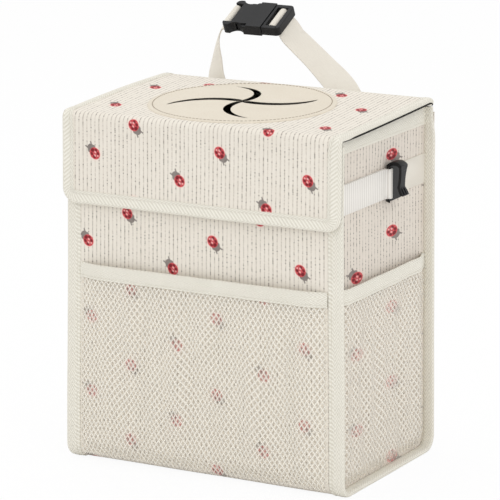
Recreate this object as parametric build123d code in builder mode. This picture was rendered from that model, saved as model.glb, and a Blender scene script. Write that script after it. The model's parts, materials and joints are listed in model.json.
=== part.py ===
from build123d import *
import os
from math import cos, radians, sin, sqrt

os.makedirs("parts", exist_ok=True)

# Bin: X runs across the front, Y to the back, the floor is at Z = 0, all sizes in millimetres
bin_width = 254.0
bin_depth = 173.0
rim_height = 292.0
corner_radius = 14.0
side_recess = 10.0

# Sheets that the walls are made of
cloth = 1.2
board = 2.0
film = 0.6
seam_gap = 0.3

# Binding tape along the bin's edges
tape = 1.4
binding_width = 13.0
rim_tape_height = 12.0

# Lid and front flap
lid_overhang = 1.0
lid_gap = 1.2
lid_cloth = 1.0
lid_lining = 1.0
lid_tape = 0.8
lid_tape_width = 8.0
lid_corner_radius = 10.0
fold_radius = 4.0
fold_gap = 0.3
board_margin = 7.0
flap_drop = 77.0
flap_gap = 1.2
flap_tape_width = 11.0
flap_corner_radius = 13.0

# Closing strips between the flap and the front
strip_length = 60.0
strip_height = 20.0
strip_clear = 0.3
strip_rise = 18.0

# Disc with its pinwheel slit over the drop hole
disc_radius = 76.0
disc_thickness = 1.2
disc_shift = (-5.0, -2.4)
drop_hole_radius = 66.0
slit_reach = 63.0
slit_turn = 27.0
slit_bow = 19.0
slit_width = 5.4
slit_overlap = 2.0

# Hinge strip on the back
hinge_strip_height = 22.0
hinge_strip = 1.0
hinge_strip_margin = 12.0
hinge_clear = 0.5

# Net pockets
hem_top = 171.0
hem_height = 13.0
hem_wall = 1.8
net_wall = 0.7
net_stand_off = 6.2
net_fold = 0.6
toe_fold = 0.15
front_folds = 13
side_folds = 8
net_heel = 10.0
front_net_toe = 6.0
front_toe_tuck = 0.6
net_gap_width = 6.0
net_gap_height = 12.0
net_gap_rows = 6

# Side bands and their clips
band_height = 25.0
band_below_rim = 49.0
band_thickness = 1.4
clip_bar_y = 10.0
clip_bar_radius = 1.5
clip_bar_clear = 0.4
clip_rail = 2.0
clip_rail_clear = 0.5
clip_base = 2.6
clip_base_start = 4.6
clip_base_length = 16.0
clip_base_clear = 0.5
clip_horn = 4.2
clip_horn_flare = 2.8
clip_horn_tip = 0.8
clip_arm = 2.3
clip_arm_gap = 8.4
clip_arm_offset = 0.2
clip_arm_width = 12.0
clip_arm_waist = 8.4
clip_arm_drop = 24.5
clip_crest = 3.4
clip_under_crest = 1.6
clip_under_drop = 1.2
clip_tip_flare = 3.4
clip_tip_rise = 6.5
clip_rib = 0.7
clip_rib_width = 1.6

# Carry strap and its side-release buckle
strap_width = 25.0
strap_thickness = 1.4
strap_drop = 5.2
strap_end_share = 0.7
buckle_across = -59.0
buckle_behind = 33.5
buckle_above = 58.3
buckle_tilt = 26.6
buckle_width = 36.0
buckle_thickness = 9.4
buckle_wall = 1.7
buckle_side = 4.0
socket_start = -27.0
socket_end = 11.0
socket_mouth_depth = 27.0
buckle_window = 26.6
buckle_bar_radius = 1.8
buckle_bar_clear = 0.3
socket_bar_inset = 1.2
plug_bar_inset = 8.0
buckle_window_length = 6.4
buckle_corner = 4.0
waist_radius = 7.5
waist_depth = 4.2
waist_from_end = 13.5
pad_recess = 1.4
pad_recess_length = 10.0
pad_recess_width = 3.4
plug_gap = 0.3
plug_base_length = 17.0
plug_thickness = 8.0
plug_clear = 0.35
prong_width = 4.2
prong_pad = 9.0
prong_waist = 1.6
guide_width = 4.6
guide_length = 18.0

# Places that follow from the sizes above
half_width = bin_width / 2
half_depth = bin_depth / 2
side_face = half_width - side_recess
cover_inset = tape
board_inset = tape + cloth
flange_inset = tape + cloth + tape
liner_inset = board_inset + board + seam_gap
wall_face = half_depth - cover_inset
wall_top = rim_height - tape
binding_top = rim_height - rim_tape_height
side_board_face = side_face - cloth
liner_half = side_board_face - board - seam_gap
cut_over = 1.0

lid_half = half_width + lid_overhang
lid_panel = fold_radius
lid_board = lid_panel - lid_cloth - lid_lining
lid_bottom = rim_height + lid_gap + lid_tape
lid_top = lid_bottom + lid_panel
flap_back = -(half_depth + flap_gap + lid_tape)
flap_face = flap_back - lid_panel
flap_bottom = lid_top - flap_drop
fold_centre = (flap_face + fold_radius, lid_top - fold_radius)
lid_reach = half_depth - fold_centre[0]
flap_reach = fold_centre[1] - flap_bottom
disc_centre = (disc_shift[0], (flap_face + half_depth) / 2 + disc_shift[1])

band_middle = rim_height - band_below_rim
band_bottom = band_middle - band_height / 2
hem_bottom = hem_top - hem_height
flange_face = half_depth - flange_inset


# Sections and outlines
def tray_face(inset, top, at_x):
    """Side view of the bin with its rounded lower corners, set in from the bindings' outer face."""
    with BuildSketch(Plane.YZ.offset(at_x)) as face:
        with Locations((0, (inset + top) / 2)):
            Rectangle(bin_depth - 2 * inset, top - inset)
        fillet(face.vertices().group_by(Axis.Y)[0], corner_radius - inset)
    return face.sketch


def foot_corners(inset):
    """What lies outside the bin's rounded lower corners, beside the right panel."""
    with BuildPart() as corners:
        with Locations((side_face + side_recess / 2, 0, corner_radius / 2)):
            Box(side_recess, bin_depth, corner_radius)
        extrude(tray_face(inset, rim_height, side_face), amount=side_recess, mode=Mode.SUBTRACT)
    return corners.part


def fold_section(outer, inner, is_flap):
    """Section of the lid or of the flap between two depths under the cloth's face, up to the fold's mitre."""
    reach = flap_reach if is_flap else lid_reach
    arc_start = 135 if is_flap else 90

    def along(distance, depth):
        rise = fold_radius - depth
        return (-rise, -distance) if is_flap else (distance, rise)

    def mitre(depth):
        rise = fold_radius - depth
        return (-rise / sqrt(2), rise / sqrt(2)) if rise > 0 else (-rise, rise)

    inner_start = along(0, inner) if inner < fold_radius else mitre(inner)
    with BuildSketch(Plane(origin=(0, *fold_centre), x_dir=(0, 1, 0), z_dir=(1, 0, 0))) as section:
        with BuildLine():
            CenterArc((0, 0), fold_radius - outer, arc_start, 45)
            Line(along(0, outer), along(reach, outer))
            Line(along(reach, outer), along(reach, inner))
            Line(along(reach, inner), inner_start)
            Line(mitre(outer), mitre(inner))
            if inner < fold_radius:
                CenterArc((0, 0), fold_radius - inner, arc_start, 45)
        make_face()
        Rectangle(fold_gap, 4 * fold_radius, rotation=45, mode=Mode.SUBTRACT)
    return section.sketch


def lid_plan(inset):
    """Lid seen from above, open towards the fold, with its rounded back corners."""
    depth = half_depth - inset - 2 * flap_face
    with BuildSketch(Plane.XY.offset(flap_bottom)) as plan:
        with Locations((0, half_depth - inset - depth / 2)):
            Rectangle(2 * (lid_half - inset), depth)
        fillet(plan.vertices().group_by(Axis.Y)[-1], lid_corner_radius - inset)
    return plan.sketch


def flap_front(inset):
    """Flap seen from the front, open towards the fold, with its rounded lower corners."""
    height = 2 * flap_drop
    with BuildSketch(Plane.XZ.offset(-flap_back + lid_panel)) as front:
        with Locations((0, flap_bottom + inset + height / 2)):
            Rectangle(2 * (lid_half - inset), height)
        fillet(front.vertices().group_by(Axis.Y)[0], flap_corner_radius - inset)
    return front.sketch


def lid_layer(outer, inner, margin):
    """One sheet of the lid, with the drop hole through it."""
    with BuildPart() as layer:
        extrude(fold_section(outer, inner, False), amount=lid_half, both=True)
        extrude(lid_plan(margin), amount=2 * flap_drop, mode=Mode.INTERSECT)
        with Locations((*disc_centre, lid_top)):
            Cylinder(drop_hole_radius, 4 * lid_panel, mode=Mode.SUBTRACT)
    return layer.part


def flap_layer(outer, inner, margin):
    """One sheet of the flap."""
    with BuildPart() as layer:
        extrude(fold_section(outer, inner, True), amount=lid_half, both=True)
        extrude(flap_front(margin), amount=4 * lid_panel, both=True, mode=Mode.INTERSECT)
    return layer.part


def pocket_section(plane, width, end_depth, stand_off, fold, wall, folds):
    """Plan section of a gathered pocket wall: its ends lie on the panel, its folds stand off it."""
    def depth(fold_number):
        if fold_number in (0, folds):
            return end_depth
        return stand_off + fold * (-1) ** fold_number

    inner_side = [(width * (k / folds - 0.5), depth(k)) for k in range(folds + 1)]
    outer_side = [(across, out + wall) for across, out in inner_side]
    with BuildSketch(plane) as section:
        with BuildLine():
            Polyline(*inner_side, *reversed(outer_side), close=True)
        make_face()
    return section.sketch


def net_part(plane_at, width, toe, tuck, folds):
    """Net wall from its toe on the panel to the hem."""
    heel = toe + net_heel
    heel_section = pocket_section(plane_at(heel), width, seam_gap, net_stand_off, net_fold, net_wall, folds)
    toe_section = pocket_section(plane_at(toe), width, tuck, tuck + toe_fold, toe_fold, net_wall, folds)
    with BuildPart() as net:
        extrude(heel_section, amount=hem_bottom - heel)
        loft([toe_section, heel_section], ruled=True)
    return net.part


def net_gaps(plane, width, folds, toe):
    """Staggered tall gaps, one column on each side of the net's folds."""
    pitch = (hem_bottom - toe - net_heel) / (net_gap_rows + 0.5)
    half_gap = net_gap_width / 2
    with BuildSketch(plane) as gaps:
        for column in range(folds):
            start = toe + net_heel + pitch / 2 * (1 + column % 2)
            across = width * ((column + 0.5) / folds - 0.5)
            with Locations(*[(across, start + row * pitch) for row in range(net_gap_rows)]):
                Polygon((half_gap, 0), (0, net_gap_height / 2), (-half_gap, 0), (0, -net_gap_height / 2))
    return gaps.sketch


def hem_part(plane_at, width, folds):
    """Hem band round the net's upper edge."""
    stand_off = net_stand_off - (hem_wall - net_wall) / 2
    section = pocket_section(plane_at(hem_bottom), width, seam_gap, stand_off, net_fold, hem_wall, folds)
    with BuildPart() as hem:
        extrude(section, amount=hem_height)
    return hem.part


def front_plane(height):
    return Plane(origin=(0, -wall_face, height), x_dir=(-1, 0, 0), z_dir=(0, 0, 1))


def side_plane(height):
    return Plane(origin=(side_face, 0, height), x_dir=(0, -1, 0), z_dir=(0, 0, 1))


# Outer cover: front, bottom and back in one, with flanges that the bindings close over
cover_half = half_width - tape
cover_width = 2 * cover_half
with BuildPart() as outer_cover:
    extrude(tray_face(cover_inset, wall_top, -cover_half), amount=cover_width)
    extrude(tray_face(board_inset, wall_top + cut_over, -cover_half), amount=cover_width, mode=Mode.SUBTRACT)

# Side panels, recessed behind the bindings
with BuildPart() as right_side:
    extrude(tray_face(board_inset, wall_top, side_face - cloth), amount=cloth)

# Bindings: tape folded round the cover's flanges
binding_start = half_width - binding_width
inner_leg_start = side_face + seam_gap
with BuildPart() as right_binding:
    extrude(tray_face(0, binding_top, binding_start), amount=binding_width)
    extrude(
        tray_face(cover_inset, binding_top + cut_over, binding_start),
        amount=cover_half - binding_start,
        mode=Mode.SUBTRACT,
    )
    extrude(tray_face(board_inset, binding_top, inner_leg_start), amount=cover_half - inner_leg_start)
    extrude(
        tray_face(flange_inset, binding_top + cut_over, binding_start),
        amount=binding_width,
        mode=Mode.SUBTRACT,
    )

# Stiffening boards
with BuildPart() as front_board:
    with BuildSketch(Plane.XZ.offset(half_depth - board_inset - board)):
        with Locations((0, (corner_radius + wall_top) / 2)):
            Rectangle(2 * liner_half, wall_top - corner_radius)
    extrude(amount=board)

with BuildPart() as back_board:
    mirror(front_board.part, about=Plane.XZ)

with BuildPart() as base_board:
    with BuildSketch(Plane.XY.offset(board_inset)):
        Rectangle(2 * liner_half, bin_depth - 2 * corner_radius)
    extrude(amount=board)

with BuildPart() as right_board:
    extrude(tray_face(board_inset + seam_gap, wall_top, side_board_face - board), amount=board)

# Waterproof liner
with BuildPart() as liner:
    extrude(tray_face(liner_inset, wall_top, -liner_half), amount=2 * liner_half)
    extrude(
        tray_face(liner_inset + film, wall_top + cut_over, film - liner_half),
        amount=2 * (liner_half - film),
        mode=Mode.SUBTRACT,
    )

# Rim binding: tape folded over the top of the four walls and over the flanges' ends
rim_pocket_x = liner_half - film - seam_gap
rim_pocket_y = half_depth - liner_inset - film - seam_gap
with BuildPart() as rim_binding:
    with BuildSketch(Plane.XY.offset(binding_top)):
        Rectangle(2 * (side_face + tape), bin_depth)
        with Locations((0, half_depth - flange_inset / 2), (0, flange_inset / 2 - half_depth)):
            Rectangle(bin_width, flange_inset)
        Rectangle(2 * (rim_pocket_x - tape), 2 * (rim_pocket_y - tape), mode=Mode.SUBTRACT)
    extrude(amount=rim_tape_height)
    with BuildSketch(Plane.XY.offset(binding_top)):
        Rectangle(2 * side_face, 2 * wall_face)
        Rectangle(2 * rim_pocket_x, 2 * rim_pocket_y, mode=Mode.SUBTRACT)
        with Locations((0, wall_face - cloth / 2), (0, cloth / 2 - wall_face)):
            Rectangle(2 * cover_half, cloth)
    extrude(amount=rim_tape_height - tape, mode=Mode.SUBTRACT)

# Hinge strip that carries the lid on the back
with BuildPart() as hinge_strip_back:
    with BuildSketch(Plane.XZ.offset(-half_depth)):
        with Locations((0, lid_bottom - lid_tape - hinge_clear - hinge_strip_height / 2)):
            RectangleRounded(2 * (half_width - hinge_strip_margin), hinge_strip_height, hinge_strip)
    extrude(amount=-hinge_strip)

# Lid: cloth, board and lining, one over the other
with BuildPart() as lid_cover:
    add(lid_layer(0, lid_cloth, lid_tape))

with BuildPart() as lid_panel_board:
    add(lid_layer(lid_cloth, lid_cloth + lid_board, board_margin))

with BuildPart() as lid_under:
    add(lid_layer(lid_cloth + lid_board, lid_panel, lid_tape))

with BuildPart() as lid_binding:
    extrude(fold_section(-lid_tape, lid_panel + lid_tape, False), amount=lid_half, both=True)
    extrude(lid_plan(0), amount=2 * flap_drop, mode=Mode.INTERSECT)
    extrude(lid_plan(lid_tape_width), amount=2 * flap_drop, mode=Mode.SUBTRACT)
    add(lid_layer(0, lid_panel, lid_tape), mode=Mode.SUBTRACT)

# Disc: a sheet sewn over the drop hole, with four bowed slit arms
slit_heading = Vector(1, 0).rotate(Axis.Z, slit_turn)
with BuildPart() as lid_disc:
    with BuildSketch(Plane(origin=(*disc_centre, lid_top))):
        Circle(disc_radius)
        for quarter in range(4):
            heading = slit_heading.rotate(Axis.Z, 90 * quarter)
            with BuildLine():
                SagittaArc(heading * -slit_overlap, heading * slit_reach, -(slit_bow + slit_width / 2))
                SagittaArc(heading * -slit_overlap, heading * slit_reach, -(slit_bow - slit_width / 2))
            make_face(mode=Mode.SUBTRACT)
    extrude(amount=disc_thickness)

# Flap: cloth, board and lining, one behind the other
with BuildPart() as flap_cover:
    add(flap_layer(0, lid_cloth, lid_tape))

with BuildPart() as flap_board:
    add(flap_layer(lid_cloth, lid_cloth + lid_board, board_margin))

with BuildPart() as flap_lining:
    add(flap_layer(lid_cloth + lid_board, lid_panel, lid_tape))

with BuildPart() as flap_binding:
    extrude(fold_section(-lid_tape, lid_panel + lid_tape, True), amount=lid_half, both=True)
    extrude(flap_front(0), amount=4 * lid_panel, both=True, mode=Mode.INTERSECT)
    extrude(flap_front(flap_tape_width), amount=4 * lid_panel, both=True, mode=Mode.SUBTRACT)
    add(flap_layer(0, lid_panel, lid_tape), mode=Mode.SUBTRACT)

# Closing strips, hooks on the flap and loops on the front
strip_room = -wall_face - flap_back
strip_thickness = (strip_room - strip_clear) / 2
strip_middle = flap_bottom + flap_tape_width + strip_rise
with BuildPart() as flap_hook_strip:
    with BuildSketch(Plane.XZ.offset(-flap_back)):
        with Locations((0, strip_middle)):
            RectangleRounded(strip_length, strip_height, strip_thickness)
    extrude(amount=-strip_thickness)

with BuildPart() as front_loop_strip:
    with BuildSketch(Plane.XZ.offset(wall_face)):
        with Locations((0, strip_middle)):
            RectangleRounded(strip_length, strip_height, strip_thickness)
    extrude(amount=strip_thickness)

# Net pockets and their hems, gathered along the top
front_pocket_width = 2 * (binding_start - seam_gap)
side_pocket_width = 2 * (flange_face - seam_gap)
side_toe = flange_inset + seam_gap
with BuildPart() as front_net:
    add(net_part(front_plane, front_pocket_width, front_net_toe, -front_toe_tuck, front_folds))
    extrude(
        net_gaps(Plane.XZ.offset(wall_face), front_pocket_width, front_folds, front_net_toe),
        amount=2 * net_stand_off,
        mode=Mode.SUBTRACT,
    )

with BuildPart() as front_hem:
    add(hem_part(front_plane, front_pocket_width, front_folds))

with BuildPart() as right_net:
    add(net_part(side_plane, side_pocket_width, side_toe, seam_gap, side_folds))
    add(foot_corners(side_toe), mode=Mode.SUBTRACT)
    extrude(
        net_gaps(Plane.YZ.offset(side_face), side_pocket_width, side_folds, side_toe),
        amount=2 * net_stand_off,
        mode=Mode.SUBTRACT,
    )

with BuildPart() as right_hem:
    add(hem_part(side_plane, side_pocket_width, side_folds))

# Elastic band, looped round the clip's bar, and the plain band behind the clip
band_face = side_face + seam_gap
loop_inner = clip_bar_radius + clip_bar_clear
loop_outer = loop_inner + band_thickness
clip_bar_x = band_face + loop_outer
with BuildPart() as right_elastic:
    with BuildSketch(Plane.XY.offset(band_bottom)):
        with Locations((clip_bar_x, clip_bar_y)):
            Circle(loop_outer)
        with Locations((band_face + band_thickness / 2, (clip_bar_y - flange_face) / 2)):
            Rectangle(band_thickness, clip_bar_y + flange_face)
        with Locations((clip_bar_x, clip_bar_y)):
            Circle(loop_inner, mode=Mode.SUBTRACT)
    extrude(amount=band_height)

back_band_start = clip_bar_y + loop_outer + clip_base_clear
with BuildPart() as right_back_band:
    with BuildSketch(Plane.XY.offset(band_bottom)):
        with Locations((band_face + band_thickness / 2, (back_band_start + flange_face) / 2)):
            Rectangle(band_thickness, flange_face - back_band_start)
    extrude(amount=band_height)

# Clip: a bar between two horned rails, a base plate and a waisted, sprung arm that comes over its top
clip_base_x = band_face + band_thickness + clip_base_clear
clip_base_y = clip_bar_y + clip_base_start
rail_inner = band_height / 2 + clip_rail_clear
clip_half = rail_inner + clip_rail
clip_arm_x = clip_base_x + clip_base + clip_arm_gap
clip_middle_y = clip_base_y + clip_base_length / 2
clip_arm_y = clip_base_y + clip_arm_offset
horn_x = clip_bar_x + clip_bar_radius + clip_horn_flare
arm_top = band_middle + clip_half
arm_end = arm_top - clip_arm_drop
with BuildPart() as right_clip:
    with Locations((clip_bar_x, clip_bar_y, band_middle)):
        Cylinder(clip_bar_radius, 2 * clip_half)
    for end in (-1, 1):
        with BuildSketch(Plane.XY.offset(band_middle + end * (rail_inner + clip_rail / 2))):
            with BuildLine():
                Polyline(
                    (clip_bar_x - clip_bar_radius, clip_base_y + clip_bar_radius),
                    (clip_bar_x - clip_bar_radius, clip_bar_y - clip_bar_radius),
                    (horn_x - clip_horn_tip, clip_bar_y - clip_bar_radius - clip_horn),
                    (horn_x, clip_bar_y - clip_bar_radius - clip_horn),
                    (clip_bar_x + clip_bar_radius, clip_bar_y),
                    (clip_bar_x + clip_bar_radius, clip_base_y + clip_bar_radius),
                    close=True,
                )
            make_face()
        extrude(amount=clip_rail / 2, both=True)
    with Locations((clip_base_x + clip_base / 2, clip_middle_y, band_middle)):
        Box(clip_base, clip_base_length, 2 * clip_half)
    under_top = arm_top - clip_under_drop
    tip_knee = (clip_arm_x - clip_tip_flare / 2, arm_end + clip_tip_rise)
    tip_end = (clip_arm_x + clip_tip_flare / 2, arm_end)
    with BuildSketch(Plane.XZ.offset(-clip_arm_y)):
        with BuildLine():
            crest = SagittaArc((clip_base_x, arm_top), (clip_arm_x + clip_arm, arm_top), clip_crest)
            Line(crest @ 1, (tip_knee[0] + clip_arm, tip_knee[1]))
            Line((tip_knee[0] + clip_arm, tip_knee[1]), (tip_end[0] + clip_arm, tip_end[1]))
            Line((tip_end[0] + clip_arm, tip_end[1]), tip_end)
            Line(tip_end, tip_knee)
            Line(tip_knee, (clip_arm_x, under_top))
            under_end = (clip_base_x + clip_base, under_top)
            under = SagittaArc((clip_arm_x, under_top), under_end, -clip_under_crest)
            Line(under @ 1, (clip_base_x, under_top))
            Line((clip_base_x, under_top), (clip_base_x, arm_top))
        make_face()
    extrude(amount=clip_arm_width / 2, both=True)
    with BuildSketch(Plane.YZ.offset(clip_base_x + clip_base)):
        for side in (-1, 1):
            with BuildLine():
                waist = ThreePointArc(
                    (clip_arm_y + side * clip_arm_width / 2, arm_top - clip_under_drop),
                    (clip_arm_y + side * clip_arm_waist / 2, (arm_top + arm_end) / 2),
                    (clip_arm_y + side * clip_arm_width / 2, arm_end + clip_tip_rise / 2),
                )
                Line(waist @ 1, waist @ 0)
            make_face()
    extrude(amount=2 * clip_arm_gap, mode=Mode.SUBTRACT)
    tip_slope = Plane(
        origin=(tip_end[0] + clip_arm, clip_arm_y, tip_end[1]),
        x_dir=(0, 1, 0),
        z_dir=(clip_tip_rise, 0, clip_tip_flare),
    )
    tip_length = sqrt(clip_tip_rise**2 + clip_tip_flare**2)
    with BuildSketch(tip_slope):
        with Locations((-clip_arm_width / 6, tip_length / 2), (clip_arm_width / 6, tip_length / 2)):
            Rectangle(clip_rib_width, tip_length - clip_rib_width)
    extrude(amount=clip_rib, both=True)

# Carry strap: each half is sewn flat on the back, then rises and turns to its side of the buckle
lift = (0.0, -sin(radians(buckle_tilt)), cos(radians(buckle_tilt)))
breadth = (0.0, cos(radians(buckle_tilt)), sin(radians(buckle_tilt)))
buckle_centre = (buckle_across, half_depth + buckle_behind, rim_height + buckle_above)
buckle_plane = Plane(origin=buckle_centre, x_dir=(1, 0, 0), z_dir=lift)
strap_loop_inner = buckle_bar_radius + buckle_bar_clear
strap_loop_outer = strap_loop_inner + strap_thickness
socket_bar = socket_start + socket_bar_inset
plug_start = socket_end + plug_gap
plug_end = plug_start + plug_base_length
plug_bar = plug_end - plug_bar_inset
strap_back = wall_face + seam_gap + strap_thickness / 2

# Each station: across the bin, out from the back, height over the rim, and the way across the strap
left_route = [
    ((-62.0, 0.0, -68.0), (-0.99, 0.0, -0.12)),
    ((-67.0, 0.0, -38.0), (-0.99, 0.0, -0.16)),
    ((-79.0, 7.4, -16.0), (-0.95, 0.2, -0.2)),
    ((-91.0, 16.9, 5.0), (-0.86, 0.5, -0.1)),
    ((-96.0, 25.9, 21.5), (-0.7, 0.71, 0.0)),
    ((-97.5, 31.9, 37.0), (-0.47, 0.87, 0.12)),
    ((-94.0, 35.0, 48.5), (-0.2, 0.92, 0.32)),
]
right_route = [
    ((63.0, 0.0, -68.0), (0.99, 0.0, 0.12)),
    ((59.0, 0.0, -38.0), (0.97, 0.0, 0.22)),
    ((49.0, 7.4, -15.5), (0.82, 0.22, 0.53)),
    ((33.0, 15.9, 6.0), (0.52, 0.62, 0.58)),
    ((6.5, 24.9, 23.0), (0.28, 0.85, 0.45)),
    ((-16.0, 30.9, 37.5), (0.18, 0.88, 0.44)),
    ((-33.0, 33.8, 47.0), (0.06, 0.9, 0.44)),
]


def strap_body(route, bar, side):
    """Webbing from its sewn end to its loop round the buckle's bar, as flat three-cornered faces."""
    out = strap_loop_outer - strap_thickness / 2
    stations = []
    for (x, behind, rise), across in route:
        stations.append((Vector(x, strap_back + behind, rim_height + rise), across))
    for drop in (strap_drop, 0):
        stations.append((buckle_plane.from_local_coords((bar + side * out, 0, -drop)), breadth))
    rings = []
    for number, (centre, across) in enumerate(stations):
        before = stations[max(number - 1, 0)][0]
        after = stations[min(number + 1, len(stations) - 1)][0]
        along = Vector(*lift) if number >= len(route) else after - before
        half_thickness = strap_thickness / 2 * (strap_end_share if number > len(route) else 1)
        plane = Plane(origin=centre, x_dir=across, z_dir=along)
        half_strap = strap_width / 2
        corners = [(-half_strap, -1), (half_strap, -1), (half_strap, 1), (-half_strap, 1)]
        rings.append([plane.from_local_coords((a, b * half_thickness, 0)) for a, b in corners])
    faces = [Face(Wire.make_polygon(rings[0][::-1])), Face(Wire.make_polygon(rings[-1]))]
    for here, there in zip(rings[:-1], rings[1:]):
        for corner in range(4):
            after = (corner + 1) % 4
            is_front = corner < 2
            first_tip = there[after] if is_front else there[corner]
            second_tip = here[corner] if is_front else here[after]
            faces.append(Face(Wire.make_polygon([here[corner], here[after], first_tip])))
            faces.append(Face(Wire.make_polygon([second_tip, there[after], there[corner]])))
    return Solid(Shell(faces))


def strap_loop(bar):
    with BuildSketch(Plane(origin=buckle_centre, x_dir=(1, 0, 0), z_dir=(-Vector(*breadth)))) as ring:
        with Locations((bar, 0)):
            Circle(strap_loop_outer)
            Circle(strap_loop_inner, mode=Mode.SUBTRACT)
    return ring.sketch


with BuildPart() as left_strap:
    add(strap_body(left_route, socket_bar, -1))
    extrude(strap_loop(socket_bar), amount=strap_width / 2, both=True)

with BuildPart() as right_strap:
    add(strap_body(right_route, plug_bar, 1))
    extrude(strap_loop(plug_bar), amount=strap_width / 2, both=True)

# Buckle socket: a flat mouth with waisted, open sides and a webbing bar at its end
mouth_half = buckle_width / 2 - buckle_side
socket_length = socket_end - socket_start
waist_middle = socket_start + waist_from_end
with BuildPart(buckle_plane) as buckle_socket:
    with BuildSketch(buckle_plane):
        with Locations(((socket_start + socket_end) / 2, 0)):
            Rectangle(socket_length, buckle_width)
        fillet(vertices().group_by(Axis.X)[0], buckle_corner)
        for side in (-1, 1):
            with Locations((waist_middle, side * (buckle_width / 2 + waist_radius - waist_depth))):
                Circle(waist_radius, mode=Mode.SUBTRACT)
    extrude(amount=buckle_thickness / 2, both=True)
    with BuildSketch(buckle_plane):
        with Locations((socket_bar + buckle_window_length / 2, 0)):
            Rectangle(buckle_window_length, buckle_window)
        with Locations((socket_bar, 0)):
            Rectangle(2 * strap_loop_outer + 2 * buckle_bar_clear, buckle_window)
    extrude(amount=buckle_thickness, both=True, mode=Mode.SUBTRACT)
    with Locations(Location((socket_bar, 0, 0), (90, 0, 0))):
        Cylinder(buckle_bar_radius, buckle_window + buckle_bar_radius)
    with Locations((socket_end - socket_mouth_depth / 2, 0, 0)):
        Box(socket_mouth_depth, 2 * mouth_half, buckle_thickness - 2 * buckle_wall, mode=Mode.SUBTRACT)
    for side in (-1, 1):
        pad_across = side * (buckle_width - pad_recess_width) / 2
        with Locations((waist_middle + pad_recess_length / 2, pad_across, buckle_thickness / 2)):
            Box(pad_recess_length, pad_recess_width, 2 * pad_recess, mode=Mode.SUBTRACT)

# Buckle plug: a base with its webbing bar, two side prongs and a middle guide
prong_reach = socket_end - socket_mouth_depth + 2 * plug_gap
prong_half = mouth_half - plug_clear
prong_thickness = buckle_thickness - 2 * buckle_wall - 2 * plug_clear
with BuildPart(buckle_plane) as buckle_plug:
    with BuildSketch(buckle_plane):
        with Locations(((plug_start + plug_end) / 2, 0)):
            Rectangle(plug_base_length, buckle_width - 2 * plug_gap)
        fillet(vertices().group_by(Axis.X)[-1], buckle_corner)
    extrude(amount=plug_thickness / 2, both=True)
    with BuildSketch(buckle_plane):
        with Locations((plug_bar - buckle_window_length / 2, 0)):
            Rectangle(buckle_window_length, buckle_window)
        with Locations((plug_bar, 0)):
            Rectangle(2 * strap_loop_outer + 2 * buckle_bar_clear, buckle_window)
    extrude(amount=plug_thickness, both=True, mode=Mode.SUBTRACT)
    with Locations(Location((plug_bar, 0, 0), (90, 0, 0))):
        Cylinder(buckle_bar_radius, buckle_window + buckle_bar_radius)
    with BuildSketch(buckle_plane):
        for side in (-1, 1):
            with BuildLine():
                Polyline(
                    (plug_start, side * prong_half),
                    (prong_reach + prong_pad + prong_waist, side * (prong_half - prong_waist)),
                    (prong_reach + prong_pad, side * prong_half),
                    (prong_reach + prong_waist, side * prong_half),
                    (prong_reach, side * (prong_half - prong_waist)),
                    (prong_reach, side * (prong_half - prong_width)),
                    (plug_start, side * (prong_half - prong_width - prong_waist)),
                    close=True,
                )
            make_face()
        with Locations((plug_start - guide_length / 2, 0)):
            Rectangle(guide_length, guide_width)
    extrude(amount=prong_thickness / 2, both=True)

# Left pieces mirror the right ones
with BuildPart() as left_side:
    mirror(right_side.part, about=Plane.YZ)

with BuildPart() as left_binding:
    mirror(right_binding.part, about=Plane.YZ)

with BuildPart() as left_board:
    mirror(right_board.part, about=Plane.YZ)

with BuildPart() as left_net:
    mirror(right_net.part, about=Plane.YZ)

with BuildPart() as left_hem:
    mirror(right_hem.part, about=Plane.YZ)

with BuildPart() as left_elastic:
    mirror(right_elastic.part, about=Plane.YZ)

with BuildPart() as left_back_band:
    mirror(right_back_band.part, about=Plane.YZ)

with BuildPart() as left_clip:
    mirror(right_clip.part, about=Plane.YZ)

pieces = {
    "outer_cover": outer_cover,
    "left_side": left_side,
    "right_side": right_side,
    "left_binding": left_binding,
    "right_binding": right_binding,
    "rim_binding": rim_binding,
    "front_board": front_board,
    "back_board": back_board,
    "base_board": base_board,
    "left_board": left_board,
    "right_board": right_board,
    "liner": liner,
    "hinge_strip": hinge_strip_back,
    "front_loop_strip": front_loop_strip,
    "front_net": front_net,
    "front_hem": front_hem,
    "left_net": left_net,
    "left_hem": left_hem,
    "right_net": right_net,
    "right_hem": right_hem,
    "left_elastic": left_elastic,
    "right_elastic": right_elastic,
    "left_back_band": left_back_band,
    "right_back_band": right_back_band,
    "left_clip": left_clip,
    "right_clip": right_clip,
    "left_strap": left_strap,
    "right_strap": right_strap,
    "buckle_socket": buckle_socket,
    "buckle_plug": buckle_plug,
    "lid_cover": lid_cover,
    "lid_board": lid_panel_board,
    "lid_lining": lid_under,
    "lid_binding": lid_binding,
    "lid_disc": lid_disc,
    "flap_cover": flap_cover,
    "flap_board": flap_board,
    "flap_lining": flap_lining,
    "flap_binding": flap_binding,
    "flap_hook_strip": flap_hook_strip,
}
for name, piece in pieces.items():
    piece.part.label = name
    export_step(piece.part, f"parts/{name}.step")
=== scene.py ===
import json
import math

import bpy
import numpy as np
from mathutils import Matrix, Vector


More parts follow.
